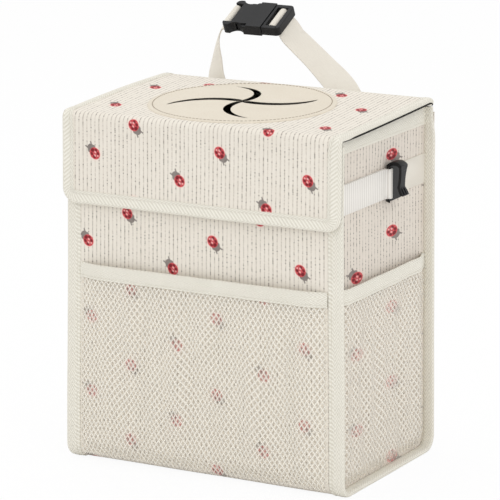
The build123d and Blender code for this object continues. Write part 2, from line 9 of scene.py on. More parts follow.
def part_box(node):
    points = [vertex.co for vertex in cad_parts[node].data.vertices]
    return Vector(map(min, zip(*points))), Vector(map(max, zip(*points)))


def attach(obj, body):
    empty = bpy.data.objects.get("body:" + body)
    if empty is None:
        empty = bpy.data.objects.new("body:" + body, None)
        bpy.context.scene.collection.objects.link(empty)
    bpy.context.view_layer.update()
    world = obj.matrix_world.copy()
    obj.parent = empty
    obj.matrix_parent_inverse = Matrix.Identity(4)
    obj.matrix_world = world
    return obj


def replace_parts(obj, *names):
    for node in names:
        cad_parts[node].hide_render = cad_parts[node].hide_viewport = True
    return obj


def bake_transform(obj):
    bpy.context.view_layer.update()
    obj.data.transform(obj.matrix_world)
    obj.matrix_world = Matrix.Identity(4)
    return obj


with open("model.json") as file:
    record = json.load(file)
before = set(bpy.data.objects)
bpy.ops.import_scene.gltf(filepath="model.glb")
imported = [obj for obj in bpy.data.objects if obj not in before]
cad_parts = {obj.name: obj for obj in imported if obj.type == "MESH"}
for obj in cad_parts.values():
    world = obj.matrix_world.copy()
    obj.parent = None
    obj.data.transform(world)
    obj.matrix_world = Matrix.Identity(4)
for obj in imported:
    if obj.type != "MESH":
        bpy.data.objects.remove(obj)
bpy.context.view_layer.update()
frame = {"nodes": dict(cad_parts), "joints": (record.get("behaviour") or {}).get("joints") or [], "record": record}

# Sizes in metres, read from the frame or named here
mm = 0.001
nodes = frame["nodes"]
joints = {joint["name"]: joint for joint in frame["joints"]}
sides = ((1, "right"), (-1, "left"))
cover_low, cover_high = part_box("outer_cover")
side_low, side_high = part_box("right_side")
tape_low, tape_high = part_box("right_binding")
rim_low, rim_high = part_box("rim_binding")
liner_low, liner_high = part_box("liner")
hinge_low, hinge_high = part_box("hinge_strip")
lid_tape_low, lid_tape_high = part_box("lid_binding")
disc_low, disc_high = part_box("lid_disc")
net_low, net_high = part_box("front_net")
hem_low, hem_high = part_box("front_hem")
side_net_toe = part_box("right_net")[0].z
side_hem_low, side_hem_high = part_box("right_hem")
elastic_low, elastic_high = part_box("right_elastic")
band_low, band_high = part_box("right_back_band")
clip_bar = Vector(joints["right_clip_swing"]["pos_m"])

tray_radius = 14.0 * mm
cloth = 1.2 * mm
cloth_sheet = 1.0 * mm
board_sheet = 1.4 * mm
tape = tape_high.y - cover_high.y
front_face = cover_low.y
side_face = side_high.x
flange_depth = 2 * tape + cloth
rim_lift = 3.4 * mm
back_lean = 2.4 * mm
foot_flare = 3.5 * mm
flare_top = 240 * mm
path_step = 4 * mm
stitch_pitch = 3.6 * mm

lid_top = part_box("lid_cover")[1].z
lid_back = lid_tape_high.y
lid_half = lid_tape_high.x
lid_tape = lid_tape_high.z - lid_top
lid_tape_wide = 8.0 * mm
flap_tape_extra = 3.4 * mm
lid_panel = 4.0 * mm
lid_rise = 5.5 * mm
lid_left_rise = 1.8 * mm
flap_curl = 0.6 * mm
flap_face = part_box("flap_cover")[0].y
flap_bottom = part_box("flap_binding")[0].z
fold_softness = 6.0 * mm
fold_y = flap_face + fold_softness
fold_z = lid_top - fold_softness
lid_run = lid_back - fold_y
fold_run = fold_softness * math.pi / 2
lid_sheet = lid_run + fold_run + fold_z - flap_bottom
back_corner = 10 * mm
flap_corner = 13 * mm
drop_hole = 66.0 * mm
disc_middle = ((disc_low.x + disc_high.x) / 2, (disc_low.y + disc_high.y) / 2)


# Shader maths
class Value:
    """A number that varies over a surface: arithmetic on it adds Math nodes."""

    def __init__(self, finish, socket):
        self.finish = finish
        self.socket = socket

    def math(self, operation, *others):
        return self.finish.math(operation, self, *others)

    def __add__(self, other):
        return self.math("ADD", other)

    def __sub__(self, other):
        return self.math("SUBTRACT", other)

    def __rsub__(self, other):
        return self.finish.math("SUBTRACT", other, self)

    def __mul__(self, other):
        return self.math("MULTIPLY", other)

    def __truediv__(self, other):
        return self.math("DIVIDE", other)

    def __rtruediv__(self, other):
        return self.finish.math("DIVIDE", other, self)

    def __lt__(self, other):
        return self.math("LESS_THAN", other)

    def __abs__(self):
        return self.math("ABSOLUTE")

    __radd__ = __add__
    __rmul__ = __mul__

    def floor(self):
        return self.math("FLOOR")

    def part(self):
        return self.math("FRACT")

    def most(self, other):
        return self.math("MAXIMUM", other)

    def sine(self, pitch):
        return (self * (2 * math.pi / pitch)).math("SINE")

    def wave(self, pitch):
        """0 to 1 and back once in every pitch."""
        return self.sine(pitch) * 0.5 + 0.5

    def fade(self, start, end):
        """0 up to start, 1 past end, smooth between; start may be the larger one."""
        sockets = {"Value": self, "From Min": start, "From Max": end}
        made = self.finish.node("MapRange", {"interpolation_type": "SMOOTHSTEP"}, sockets)
        return Value(self.finish, made.outputs["Result"])


class Finish:
    """One material, made of nodes round a Principled shader."""

    def __init__(self, name, **sockets):
        self.material = bpy.data.materials.new(name)
        self.material.use_nodes = True
        self.tree = self.material.node_tree
        self.tree.nodes.clear()
        self.shader = self.node("BsdfPrincipled", {}, sockets)
        self.node("OutputMaterial", {}, {"Surface": self.shader.outputs[0]})

    def node(self, kind, settings=None, sockets=None):
        made = self.tree.nodes.new("ShaderNode" + kind)
        for name, value in (settings or {}).items():
            setattr(made, name, value)
        for key, value in (sockets or {}).items():
            self.feed(made.inputs[key], value)
        return made

    def feed(self, socket, value):
        if isinstance(value, Value):
            self.tree.links.new(value.socket, socket)
        elif isinstance(value, bpy.types.NodeSocket):
            self.tree.links.new(value, socket)
        else:
            socket.default_value = value

    def math(self, operation, *terms):
        made = self.node("Math", {"operation": operation}, dict(enumerate(terms)))
        return Value(self, made.outputs[0])

    def place(self):
        """Metres across and along the cloth, from the piece's own layer."""
        layer = self.node("UVMap", {"uv_map": "cloth"})
        parts = self.node("SeparateXYZ", {}, {0: layer.outputs["UV"]})
        return Value(self, parts.outputs["X"]), Value(self, parts.outputs["Y"])

    def noise(self, scale, detail=2.0, roughness=0.5):
        """Cloudy numbers about 0.5, at features per metre, fixed to the object."""
        where = self.node("TexCoord").outputs["Object"]
        sockets = {"Vector": where, "Scale": scale, "Detail": detail, "Roughness": roughness}
        return Value(self, self.node("TexNoise", {}, sockets).outputs[0])

    def mix(self, amount, first, second):
        """Colour from first to second."""
        made = self.node("Mix", {"data_type": "RGBA"}, {"Factor": amount})
        self.feed(made.inputs[6], first)
        self.feed(made.inputs[7], second)
        return made.outputs[2]

    def set(self, name, value):
        self.feed(self.shader.inputs[name], value)

    def relief(self, height, depth, strength=1.0):
        """Fine relief of that depth in metres."""
        sockets = {"Height": height, "Distance": depth, "Strength": strength}
        self.set("Normal", self.node("Bump", {}, sockets).outputs[0])


def colour(red, green, blue):
    """Linear colour from the usual 0 to 255 values."""
    def linear(value):
        share = value / 255
        return share / 12.92 if share <= 0.04045 else ((share + 0.055) / 1.055) ** 2.4

    return (linear(red), linear(green), linear(blue), 1.0)


def woven(across, along, pitch):
    """Over and under threads of a plain weave, from 0 to 1."""
    return across.sine(pitch) * along.sine(pitch) * 0.5 + 0.5


# Printed cloth: dotted lines and small beetles
line_pitch = 3.8 * mm
strong_line_every = 4
dot_pitch = 1.35 * mm
beetle_step = (79.5 * mm, -15.2 * mm)
beetle_rise = 64.0 * mm
beetle_pair = (39.5 * mm, 23.4 * mm)
beetle_heading = math.radians(130)
beetle_start_front = (-28.6 * mm, 47.9 * mm)
beetle_start_flap = (-18.4 * mm, 247.7 * mm)
beetle_start_side = (-25.4 * mm, 175.9 * mm)
side_print_stretch = 1.78
lid_print_stretch = 1.145
lid_print_drift = 10.5 * mm
front_print_slip = 3.6 * mm
# Share of painted light that fades the print under the front net towards its pale ground
net_painted_light = 0.27


def beetle_masks(across, along, growth):
    """Masks of the print's beetle: wings, head, spots, shine and glow. Every other beetle is turned round."""
    def nearest(start_across, start_along):
        column = ((across - start_across) / beetle_step[0] + 0.5).floor()
        over = across - start_across - column * beetle_step[0]
        up = along - start_along - column * beetle_step[1]
        row = (up / beetle_rise + 0.5).floor()
        return over, up - row * beetle_rise

    first_over, first_up = nearest(0.0, 0.0)
    second_over, second_up = nearest(*beetle_pair)
    first_far = first_over * first_over + first_up * first_up
    second_far = second_over * second_over + second_up * second_up
    is_first = first_far < second_far
    over = ((first_over + second_over) * is_first - second_over) / growth[0]
    up = ((first_up + second_up) * is_first - second_up) / growth[1]
    ahead = over * math.cos(beetle_heading) + up * math.sin(beetle_heading)
    aside = up * math.cos(beetle_heading) - over * math.sin(beetle_heading)

    def oval(at_ahead, at_aside, half_length, half_width, soft=0.14):
        out = (ahead - at_ahead * mm) / (half_length * mm)
        side = (aside - at_aside * mm) / (half_width * mm)
        return (out * out + side * side).fade(1 + soft, 1 - soft)

    wings = oval(-2.2, 0.0, 5.2, 4.6)
    head = oval(2.6, 0.0, 2.9, 4.0).most(oval(4.5, 0.0, 2.5, 3.0))
    for hand in (-1, 1):
        feeler = abs(aside - (ahead * 0.3 + 0.6 * mm) * hand).fade(0.8 * mm, 0.4 * mm)
        head = head.most(feeler * ahead.fade(4.6 * mm, 5.2 * mm) * ahead.fade(8.4 * mm, 7.8 * mm))
    spots = oval(1.2, 0.0, 1.5, 1.7, 0.4)
    for at_ahead, at_aside in ((-0.7, 2.5), (-4.0, 2.2)):
        for hand in (-1, 1):
            spots = spots.most(oval(at_ahead, hand * at_aside, 1.5, 1.15, 0.5))
    seam = abs(aside).fade(0.55 * mm, 0.2 * mm)
    shine = oval(-3.6, 0.9, 1.1, 0.8, 0.6)
    shine = shine.most(oval(-1.6, -0.9, 1.0, 0.8, 0.6)).most(oval(-5.4, -0.8, 0.8, 0.8, 0.6))
    glow = oval(-2.2, 0.0, 6.4, 6.0, 0.5)
    return wings, head, spots.most(seam * 0.5), shine, glow


def printed_cloth(name, growth, pale, deep, line_share, dots):
    """Cream cloth with thin broken lines and beetles, drawn larger by the growth across and along."""
    finish = Finish(name, **{"Roughness": 0.9, "Specular IOR Level": 0.15, "Sheen Weight": 0.06})
    across, along = finish.place()
    cloudy = finish.noise(60.0, 3.0)
    fine = finish.noise(850.0, 2.0)
    patchy = finish.noise(300.0, 2.0)
    line = across * line_share / line_pitch + (patchy - 0.5) * 0.16
    number = line.floor()
    beside = abs(line.part() - 0.5)
    is_strong = (number / strong_line_every).part() < 0.5 / strong_line_every
    row = along / dot_pitch + (number * 0.37).part()
    cell = finish.node("CombineXYZ", {}, {"X": number, "Y": row.floor()}).outputs[0]
    speckle = finish.node("TexWhiteNoise", {"noise_dimensions": "2D"}, {"Vector": cell})
    chance = Value(finish, speckle.outputs["Value"])
    dot = abs(row.part() - 0.5).fade(0.5, 0.2) * beside.fade(0.15, 0.08)
    dark_dot = (chance + is_strong * 0.1 + dots).fade(0.82, 0.9)
    dim_dot = chance.fade(0.15, 0.6)
    stripe = beside.fade(0.2, 0.04)
    ground = finish.mix(cloudy, deep, pale)
    ground = finish.mix(stripe * (patchy * 0.6 + 0.08), ground, colour(200, 189, 177))
    ground = finish.mix(stripe * is_strong * (patchy * 0.45 + 0.02), ground, colour(170, 159, 150))
    ground = finish.mix(dot * dim_dot * 0.4, ground, colour(150, 139, 130))
    inked = finish.mix(dot * dark_dot * 0.68, ground, colour(98, 90, 86))
    wings, head, spots, shine, glow = beetle_masks(across, along, growth)
    glowing = finish.mix(glow * 0.35, inked, colour(246, 214, 204))
    grey = finish.mix(patchy, colour(112, 104, 100), colour(152, 144, 138))
    headed = finish.mix(head * 0.97, glowing, grey)
    red = finish.mix(fine * 0.5 + patchy * 0.5, colour(178, 34, 48), colour(238, 104, 108))
    winged = finish.mix(wings * 0.97, headed, red)
    spotted = finish.mix(spots * wings * 0.8, winged, colour(92, 24, 32))
    shone = finish.mix(shine * wings * 0.75, spotted, colour(248, 190, 186))
    # Painted light: under the front net the print fades towards its pale ground, lifting the net's shade on the
    # cloth and on the beetles seen through it.
    where = finish.node("NewGeometry").outputs["Position"]
    spot = finish.node("SeparateXYZ", {}, {"Vector": where})
    low = Value(finish, spot.outputs["Z"]).fade(hem_low.z + 6 * mm, hem_low.z)
    netted = low * Value(finish, spot.outputs["Y"]).fade(cover_high.y - 4 * mm, cover_high.y - 8 * mm)
    finish.set("Base Color", finish.mix(netted * net_painted_light, shone, pale))
    weave = woven(across, along, 0.62 * mm)
    finish.relief(weave * 0.5 + fine * 0.6 - stripe * 0.9, 0.14 * mm, 0.5)
    return finish.material


def tape_cloth():
    """Binding tape: fine herringbone twill."""
    finish = Finish("binding_tape", **{"Roughness": 0.85, "Specular IOR Level": 0.2, "Sheen Weight": 0.08})
    across, along = finish.place()
    cloudy = finish.noise(45.0, 3.0)
    fine = finish.noise(700.0, 2.0)
    zigzag = abs((across / (6.4 * mm)).part() - 0.5) * 12.8 * mm
    twill = (zigzag + along).wave(3.4 * mm)
    ground = finish.mix(cloudy, colour(239, 235, 223), colour(248, 245, 235))
    finish.set("Base Color", finish.mix(twill * (fine * 0.5 + 0.3), ground, colour(200, 194, 177)))
    finish.relief(twill * -1.4 + cloudy * 0.6 + fine * 0.4, 0.25 * mm, 0.7)
    return finish.material


def net_thread():
    """Knitted net: solid along the lattice's threads, thin between them."""
    finish = Finish("net_thread", **{"Roughness": 0.7, "Specular IOR Level": 0.25, "Sheen Weight": 0.1})
    across, along = finish.place()
    fine = finish.noise(700.0, 2.0)
    one = abs(((across + along) / (2 * mm)).part() - 0.5)
    two = abs(((across - along) / (2 * mm)).part() - 0.5)
    thread = one.most(two).fade(0.33, 0.46)
    ground = finish.mix(thread, colour(246, 239, 226), colour(255, 252, 243))
    finish.set("Base Color", finish.mix(fine * 0.2, ground, colour(228, 220, 206)))
    finish.set("Alpha", thread * 0.48 + 0.16)
    finish.relief(fine, 0.15 * mm, 0.6)
    return finish.material


def elastic_cloth():
    """Woven elastic: narrow ribs across the band."""
    finish = Finish("elastic_band", **{"Roughness": 0.8, "Specular IOR Level": 0.25, "Sheen Weight": 0.15})
    _, along = finish.place()
    rib = along.wave(3.4 * mm)
    fine = finish.noise(800.0, 2.0)
    ground = finish.mix(rib.fade(0.05, 0.7), colour(218, 213, 206), colour(242, 239, 233))
    finish.set("Base Color", finish.mix(fine * 0.2, ground, colour(222, 215, 207)))
    finish.relief(rib + fine * 0.3, 0.3 * mm, 0.5)
    return finish.material


def webbing_cloth():
    """Strap webbing: small chevrons between two selvedges."""
    finish = Finish("webbing", **{"Roughness": 0.8, "Specular IOR Level": 0.25, "Sheen Weight": 0.12})
    across, along = finish.place()
    zigzag = abs((across / (4.2 * mm)).part() - 0.5) * 4.2 * mm
    rib = (along + zigzag).wave(1.5 * mm)
    thread = across.wave(0.7 * mm)
    cloudy = finish.noise(50.0, 3.0)
    ground = finish.mix(cloudy, colour(229, 222, 210), colour(240, 235, 224))
    finish.set("Base Color", finish.mix(rib * 0.3, ground, colour(208, 200, 186)))
    finish.relief(rib + thread * 0.4, 0.25 * mm, 0.6)
    return finish.material


def black_plastic():
    """Moulded black plastic of the hooks and the buckle."""
    finish = Finish("black_plastic", **{"Specular IOR Level": 0.28})
    fine = finish.noise(2600.0, 3.0, 0.6)
    cloudy = finish.noise(70.0, 3.0)
    finish.set("Base Color", finish.mix(cloudy, colour(12, 12, 14), colour(22, 22, 24)))
    finish.set("Roughness", cloudy * 0.12 + 0.42)
    finish.relief(fine, 0.06 * mm, 0.5)
    return finish.material


def board_plastic():
    """Pale stiff board between cloth and liner."""
    finish = Finish("stiff_board", **{"Roughness": 0.6})
    flute = finish.noise(300.0, 1.0)
    finish.set("Base Color", finish.mix(flute, colour(196, 195, 190), colour(214, 213, 208)))
    return finish.material


def liner_film():
    """Dark waterproof film with a fine pressed grain."""
    finish = Finish("liner_film", **{"Specular IOR Level": 0.5})
    fine = finish.noise(1500.0, 2.0)
    crumple = finish.noise(38.0, 4.0)
    finish.set("Base Color", finish.mix(crumple, colour(19, 17, 15), colour(31, 28, 25)))
    finish.set("Roughness", fine * 0.16 + 0.34)
    finish.relief(crumple * 3.0 + fine * 0.2, 0.7 * mm, 0.7)
    return finish.material


def lining_cloth():
    """Plain lining under the lid and the flap, near-black: partly its own dark cloth, partly painted shade for the
    gap under the lid's edge and for the disc's slits.
    """
    finish = Finish("lining_cloth", **{"Roughness": 0.8, "Specular IOR Level": 0.25})
    across, along = finish.place()
    weave = woven(across, along, 0.7 * mm)
    cloudy = finish.noise(40.0, 3.0)
    shade = weave * 0.5 + cloudy * 0.5
    # Painted shade, in part: the near-black colour stands partly for the shade in the gap under the lid's edge and
    # behind the disc's slits.
    finish.set("Base Color", finish.mix(shade, colour(22, 20, 17), colour(36, 33, 29)))
    finish.relief(weave + cloudy, 0.14 * mm, 0.6)
    return finish.material


def disc_leather():
    """Soft coated sheet with a fine pebble grain."""
    finish = Finish("disc_sheet", **{"Specular IOR Level": 0.35})
    where = finish.node("TexCoord").outputs["Object"]
    pebbles = finish.node("TexVoronoi", {}, {"Vector": where, "Scale": 900.0})
    pebble = Value(finish, pebbles.outputs["Distance"])
    cloudy = finish.noise(30.0, 3.0)
    ground = finish.mix(cloudy, colour(222, 212, 195), colour(231, 223, 207))
    finish.set("Base Color", finish.mix(pebble.fade(0.2, 0.75) * 0.25, ground, colour(205, 193, 172)))
    finish.set("Roughness", pebble * 0.2 + 0.5)
    finish.relief(pebble * -1.0, 0.16 * mm, 0.5)
    return finish.material


def closing_pile():
    """Hook and loop strip: short dense pile."""
    finish = Finish("closing_strip", **{"Roughness": 0.95, "Specular IOR Level": 0.1, "Sheen Weight": 0.3})
    pile = finish.noise(1300.0, 3.0)
    finish.set("Base Color", finish.mix(pile, colour(206, 199, 186), colour(240, 236, 226)))
    finish.relief(pile, 0.6 * mm, 0.9)
    return finish.material


def sewing_thread(name, shade):
    """Twisted thread of the stitches."""
    finish = Finish(name, **{"Roughness": 0.65, "Specular IOR Level": 0.3})
    twist = finish.noise(1800.0, 1.0)
    darker = tuple(0.8 * value for value in shade[:3]) + (1.0,)
    finish.set("Base Color", finish.mix(twist, darker, shade))
    return finish.material


finishes = {
    "printed_cloth": printed_cloth("printed_cloth", (1.0, 1.0), colour(238, 232, 221), colour(230, 223, 211),
                                   1.0, 0.0),
    "binding_tape": tape_cloth(),
    "pocket_net": net_thread(),
    "elastic_band": elastic_cloth(),
    "webbing": webbing_cloth(),
    "black_plastic": black_plastic(),
    "stiff_board": board_plastic(),
    "liner_film": liner_film(),
    "lining_cloth": lining_cloth(),
    "disc_sheet": disc_leather(),
    "closing_strip": closing_pile(),
}
# The sides' print: lines and dots denser than the front's, which is print, and a darker ground, which is painted
# shade for the sides turned from the light.
side_print_shaded = printed_cloth("side_print_shaded", (1.22, 1.0), colour(229, 221, 210), colour(219, 210, 199),
                           1.23, 0.12)
cream_thread = sewing_thread("cream_thread", colour(236, 231, 218))
brown_thread = sewing_thread("brown_thread", colour(150, 132, 110))


# Mesh making
def flared(points):
    """The soft walls stand a little wider at the foot than at the rim."""
    out = np.array(points, float)
    share = np.clip(1 - out[..., 2] / flare_top, 0, 1)
    out[..., 0] *= 1 + share * foot_flare / tape_high.x
    return out


def place_in_scene(name, data):
    """A new object in the scene, made of this data."""
    thing = bpy.data.objects.new(name, data)
    bpy.context.scene.collection.objects.link(thing)
    return thing


def make_piece(name, points, faces, coords, slot, body="bin", sharp=40):
    """A smooth mesh object in the frame, with its cloth layer, finish and body."""
    mesh = bpy.data.meshes.new(name)
    mesh.from_pydata(np.asarray(points, float).reshape(-1, 3).tolist(), [], faces)
    mesh.validate()
    corners = np.zeros(len(mesh.loops), np.int32)
    mesh.loops.foreach_get("vertex_index", corners)
    layer = mesh.uv_layers.new(name="cloth")
    layer.uv.foreach_set("vector", np.asarray(coords, np.float32).reshape(-1, 2)[corners].ravel())
    mesh.shade_smooth()
    mesh.set_sharp_from_angle(angle=math.radians(sharp))
    mesh.materials.append(finishes[slot])
    piece = place_in_scene(name, mesh)
    if body:
        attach(piece, body)
    return piece


def grid_faces(rows, columns, loop=False, closed=False, flip=False):
    """Quads of a grid; loop joins its last column to the first, closed its last row to the first."""
    faces = []
    for row in range(rows if closed else rows - 1):
        here, there = row * columns, (row + 1) % rows * columns
        for column in range(columns if loop else columns - 1):
            after = (column + 1) % columns
            quad = [here + column, here + after, there + after, there + column]
            faces.append(quad[::-1] if flip else quad)
    return faces


def tube_faces(stations, corners, closed=False):
    """Faces of a row of rings, with an end cap at each end of an open row."""
    last = (stations - 1) * corners
    caps = [] if closed else [list(range(corners))[::-1], list(range(last, last + corners))]
    return grid_faces(stations, corners, True, closed) + caps


def two_faced(quads, count):
    """Faces of a closed sheet: its quads, the same ones on its other side, and walls round its edges."""
    edges = {edge for quad in quads for edge in zip(quad, quad[1:] + quad[:1])}
    rims = sorted(edge for edge in edges if edge[::-1] not in edges)
    under = [[corner + count for corner in quad[::-1]] for quad in quads]
    return quads + under + [[there, here, here + count, there + count] for here, there in rims]


def compact(quads):
    """The corners in use, and the quads numbered by them."""
    used = sorted({corner for quad in quads for corner in quad})
    number = {old: new for new, old in enumerate(used)}
    return used, [[number[corner] for corner in quad] for quad in quads]


def slab(name, outer, coords, thickness, slot, body="bin", loop=False, flip=False):
    """A closed sheet, from a grid of points on its outer face."""
    rows, columns = outer.shape[:2]
    right = np.gradient(outer, axis=1)
    if loop:
        right = (np.roll(outer, -1, axis=1) - np.roll(outer, 1, axis=1)) / 2
    normal = np.cross(right, np.gradient(outer, axis=0)) * (1 if flip else -1)
    normal /= np.maximum(np.linalg.norm(normal, axis=2, keepdims=True), 1e-12)
    faces = two_faced(grid_faces(rows, columns, loop, flip=not flip), rows * columns)
    points = np.concatenate([outer, outer - normal * thickness])
    return make_piece(name, points, faces, np.concatenate([coords] * 2), slot, body)


def tube(name, rings, lengths, slot, body="bin", closed=False):
    """A closed section carried along a path: rings is (stations, corners, 3)."""
    rings = np.asarray(rings, float)
    girth = run_length(rings[0])
    coords = np.stack(np.broadcast_arrays(girth[None, :], lengths[:, None]), axis=2)
    return make_piece(name, rings, tube_faces(*rings.shape[:2], closed), coords, slot, body, sharp=50)


def rectangle(half_x, half_y):
    """Corners of a rectangle about the middle."""
    return [(-half_x, -half_y), (half_x, -half_y), (half_x, half_y), (-half_x, half_y)]


def outline(corners, radii, step, closed):
    """Evenly spaced points along straight runs and arcs, in a plane."""
    corners = [np.array(corner, float) for corner in corners]
    count = len(corners)
    points = []
    for number, corner in enumerate(corners):
        radius = radii[number]
        if (not closed and number in (0, count - 1)) or radius <= 0:
            points.append(corner)
            continue
        before = corners[number - 1] - corner
        after = corners[(number + 1) % count] - corner
        before /= np.linalg.norm(before)
        after /= np.linalg.norm(after)
        half = math.acos(np.clip(before @ after, -1, 1)) / 2
        middle = corner + (before + after) / np.linalg.norm(before + after) * radius / math.sin(half)
        begin = corner + before * radius / math.tan(half) - middle
        sign = 1 if begin[0] * (corner - middle)[1] - begin[1] * (corner - middle)[0] > 0 else -1
        turn = math.pi - 2 * half
        pieces = max(6, int(turn * radius / step))
        for angle in sign * turn * np.arange(pieces + 1) / pieces:
            spin = np.array([[math.cos(angle), -math.sin(angle)], [math.sin(angle), math.cos(angle)]])
            points.append(middle + spin @ begin)
    line = []
    for here, there in zip(points, points[1:] + points[:1] * closed):
        pieces = max(1, int(round(np.linalg.norm(there - here) / step)))
        line += [here + (there - here) * part / pieces for part in range(pieces)]
    if not closed:
        line.append(points[-1])
    return np.array(line)


def run_length(points):
    """Distance along a row of points."""
    steps = np.linalg.norm(np.diff(points, axis=0), axis=1)
    return np.concatenate([[0.0], np.cumsum(steps)])


def tangents(points, closed=False):
    """Unit headings along a row of points."""
    ahead = np.gradient(points, axis=0)
    if closed:
        ahead = np.roll(points, -1, axis=0) - np.roll(points, 1, axis=0)
    return ahead / np.linalg.norm(ahead, axis=1, keepdims=True)


def outward_of(path, closed=False):
    """Unit vectors out of a path in a plane, to the right of its heading."""
    along = tangents(path, closed)
    return np.stack([along[:, 1], -along[:, 0]], axis=1)


def sew(name, seam, normals, body="bin", closed=False, thread=cream_thread, slot="binding_tape",
        pitch=stitch_pitch, length=2.6 * mm, radius=0.32 * mm, span=None):
    """Short raised stitches along a seam, on a face with these normals, at heights within the span."""
    normals = np.broadcast_to(normals, seam.shape)
    if closed:
        seam = np.concatenate([seam, seam[:1]])
    lengths = run_length(seam)
    stops = np.arange(pitch / 2, lengths[-1], pitch)

    def at(values, where):
        return np.stack([np.interp(where, lengths, values[:, axis]) for axis in range(3)], axis=1)

    places = at(seam, stops)
    ahead = at(seam, stops + pitch / 8) - places
    if closed:
        up = normals[(stops / lengths[-1] * len(normals)).astype(int)]
    else:
        up = at(normals, stops)
    if span:
        within = (places[:, 2] > span[0]) & (places[:, 2] < span[1])
        places, up, ahead = places[within], up[within], ahead[within]
    ahead = ahead / np.linalg.norm(ahead, axis=1, keepdims=True)
    along, swell = np.array([(-0.5, 0.25), (-0.36, 0.85), (0.0, 1.0), (0.36, 0.85), (0.5, 0.25)]).T
    corners = 5
    turns = 2 * math.pi * np.arange(corners)[:, None] / corners
    beside = np.cross(ahead, up)
    ring = beside[:, None, None] * np.cos(turns) + up[:, None, None] * np.sin(turns) * 0.8
    spine = places[:, None, None] + ahead[:, None, None] * (along * length)[:, None, None]
    points = (spine + ring * (swell * radius)[:, None, None]).reshape(-1, 3)
    stitch = tube_faces(len(along), corners)
    starts = range(0, len(points), len(along) * corners)
    faces = [[start + corner for corner in face] for start in starts for face in stitch]
    piece = make_piece(name, points, faces, np.zeros((len(points), 2)), slot, body, sharp=80)
    piece.data.materials[0] = thread
    return piece


def ripple(across, along, seed):
    """Slow uneven waves about zero, for slack cloth."""
    waves = ((23.0, 9.0, 0.3), (41.0, -17.0, 1.7), (67.0, 29.0, 4.1))
    total = 0.0
    for number, (pace_across, pace_along, start) in enumerate(waves):
        phase = across * pace_across + along * pace_along + start * (seed + number)
        total = total + np.sin(phase) / (number + 1)
    return total / 2


def ease(value, low, high):
    """0 up to low, 1 past high, smooth between."""
    share = np.clip((np.asarray(value, float) - low) / (high - low), 0, 1)
    return share * share * (3 - 2 * share)


# Body: cover cloth over the front, bottom and back, and the side panels
def tray_path(inset, top):
    """Outline of the bin in side view, from the front's top edge under the foot to the back's."""
    depth = tape_high.y - inset
    corners = [(-depth, top), (-depth, inset), (depth, inset), (depth, top)]
    return outline(corners, [0, tray_radius - inset, tray_radius - inset, 0], path_step, False)


def cover_cloth():
    """The printed panel over the front, bottom and back, in one run."""
    path = tray_path(tape, cover_high.z)
    outward = outward_of(path)
    across = np.linspace(cover_low.x, cover_high.x, 61)
    lengths = run_length(path)
    sink = 0.35 * mm * (1 + ripple(across[None, :], lengths[:, None], 2))
    yz = path[:, None, :] - outward[:, None, :] * sink[..., None]
    outer = np.concatenate([np.broadcast_to(across[None, :, None], yz.shape[:2] + (1,)), yz], axis=2)
    slip = front_print_slip * ease(lengths - cover_high.z + hem_high.z, 0, hem_high.z - hem_low.z)
    coords = np.stack(np.broadcast_arrays(across[None, :] - beetle_start_front[0] - slip[:, None],
                                          cover_high.z - lengths[:, None] - beetle_start_front[1]), axis=2)
    piece = slab("cover_cloth", flared(outer), coords, cloth_sheet, "printed_cloth", flip=True)
    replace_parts(piece, "outer_cover")


def side_cloth(hand, side):
    """A side panel, with a rounded foot and a dent for the clip to lie in."""
    heights = np.linspace(side_low.z, side_high.z, 73)
    radius = tray_radius - tape - cloth
    below = np.clip(side_low.z + radius - heights, 0, radius)
    reach = side_high.y - radius + np.sqrt(radius ** 2 - below ** 2)
    y = reach[:, None] * np.linspace(-1, 1, 47)
    z = np.broadcast_to(heights[:, None], y.shape)
    sink = 0.4 * mm * (1 + ripple(y, z, 5))
    dent = ease(28 * mm - np.abs(z - clip_bar.z), 0, 12 * mm)
    dent = dent * ease(30 * mm - np.abs(y - clip_bar.y), 0, 12 * mm)
    outer = np.stack([hand * (side_high.x - sink - 1.0 * mm * dent), y, z], axis=2)
    across = hand * y / side_print_stretch
    coords = np.stack([across - beetle_start_side[0], z - beetle_start_side[1]], axis=2)
    piece = slab(side + "_side_cloth", flared(outer), coords, cloth_sheet, "printed_cloth", flip=hand < 0)
    # The side print's darker ground is painted shade.
    piece.data.materials[0] = side_print_shaded
    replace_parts(piece, side + "_side")


# Bindings: tape folded round the body's edges
def half_round(thick, count):
    """Points of a folded edge, from its outer face round to its inner one: distance in and height."""
    turns = np.linspace(math.pi / 2, -math.pi / 2, count)
    return [(thick / 2 * (1 - math.cos(turn)), -thick / 2 * (1 - math.sin(turn))) for turn in turns]


def binding_section():
    """Tape section: distance in from the outer edge and height over the bin's outline."""
    wide = tape_high.x - tape_low.x
    inner_wide = tape_high.x - side_face - 0.5 * mm
    top = [(wide, -tape), (wide, -0.5 * mm), (wide - 0.5 * mm, 0.05 * mm), (wide - 2.2 * mm, 0.15 * mm),
           (wide - 3.2 * mm, -0.1 * mm), (wide - 4.4 * mm, 0.2 * mm), (wide / 2, 0.35 * mm),
           (3.4 * mm, 0.2 * mm)]
    under = [(inner_wide - 3.4 * mm, -flange_depth - 0.15 * mm), (inner_wide - 0.6 * mm, -flange_depth),
             (inner_wide, -flange_depth + 0.5 * mm), (inner_wide, -flange_depth + tape)]
    inside = [(tape + 0.3 * mm, -flange_depth + tape), (tape + 0.3 * mm, -tape)]
    return top + half_round(flange_depth, 11) + under + inside


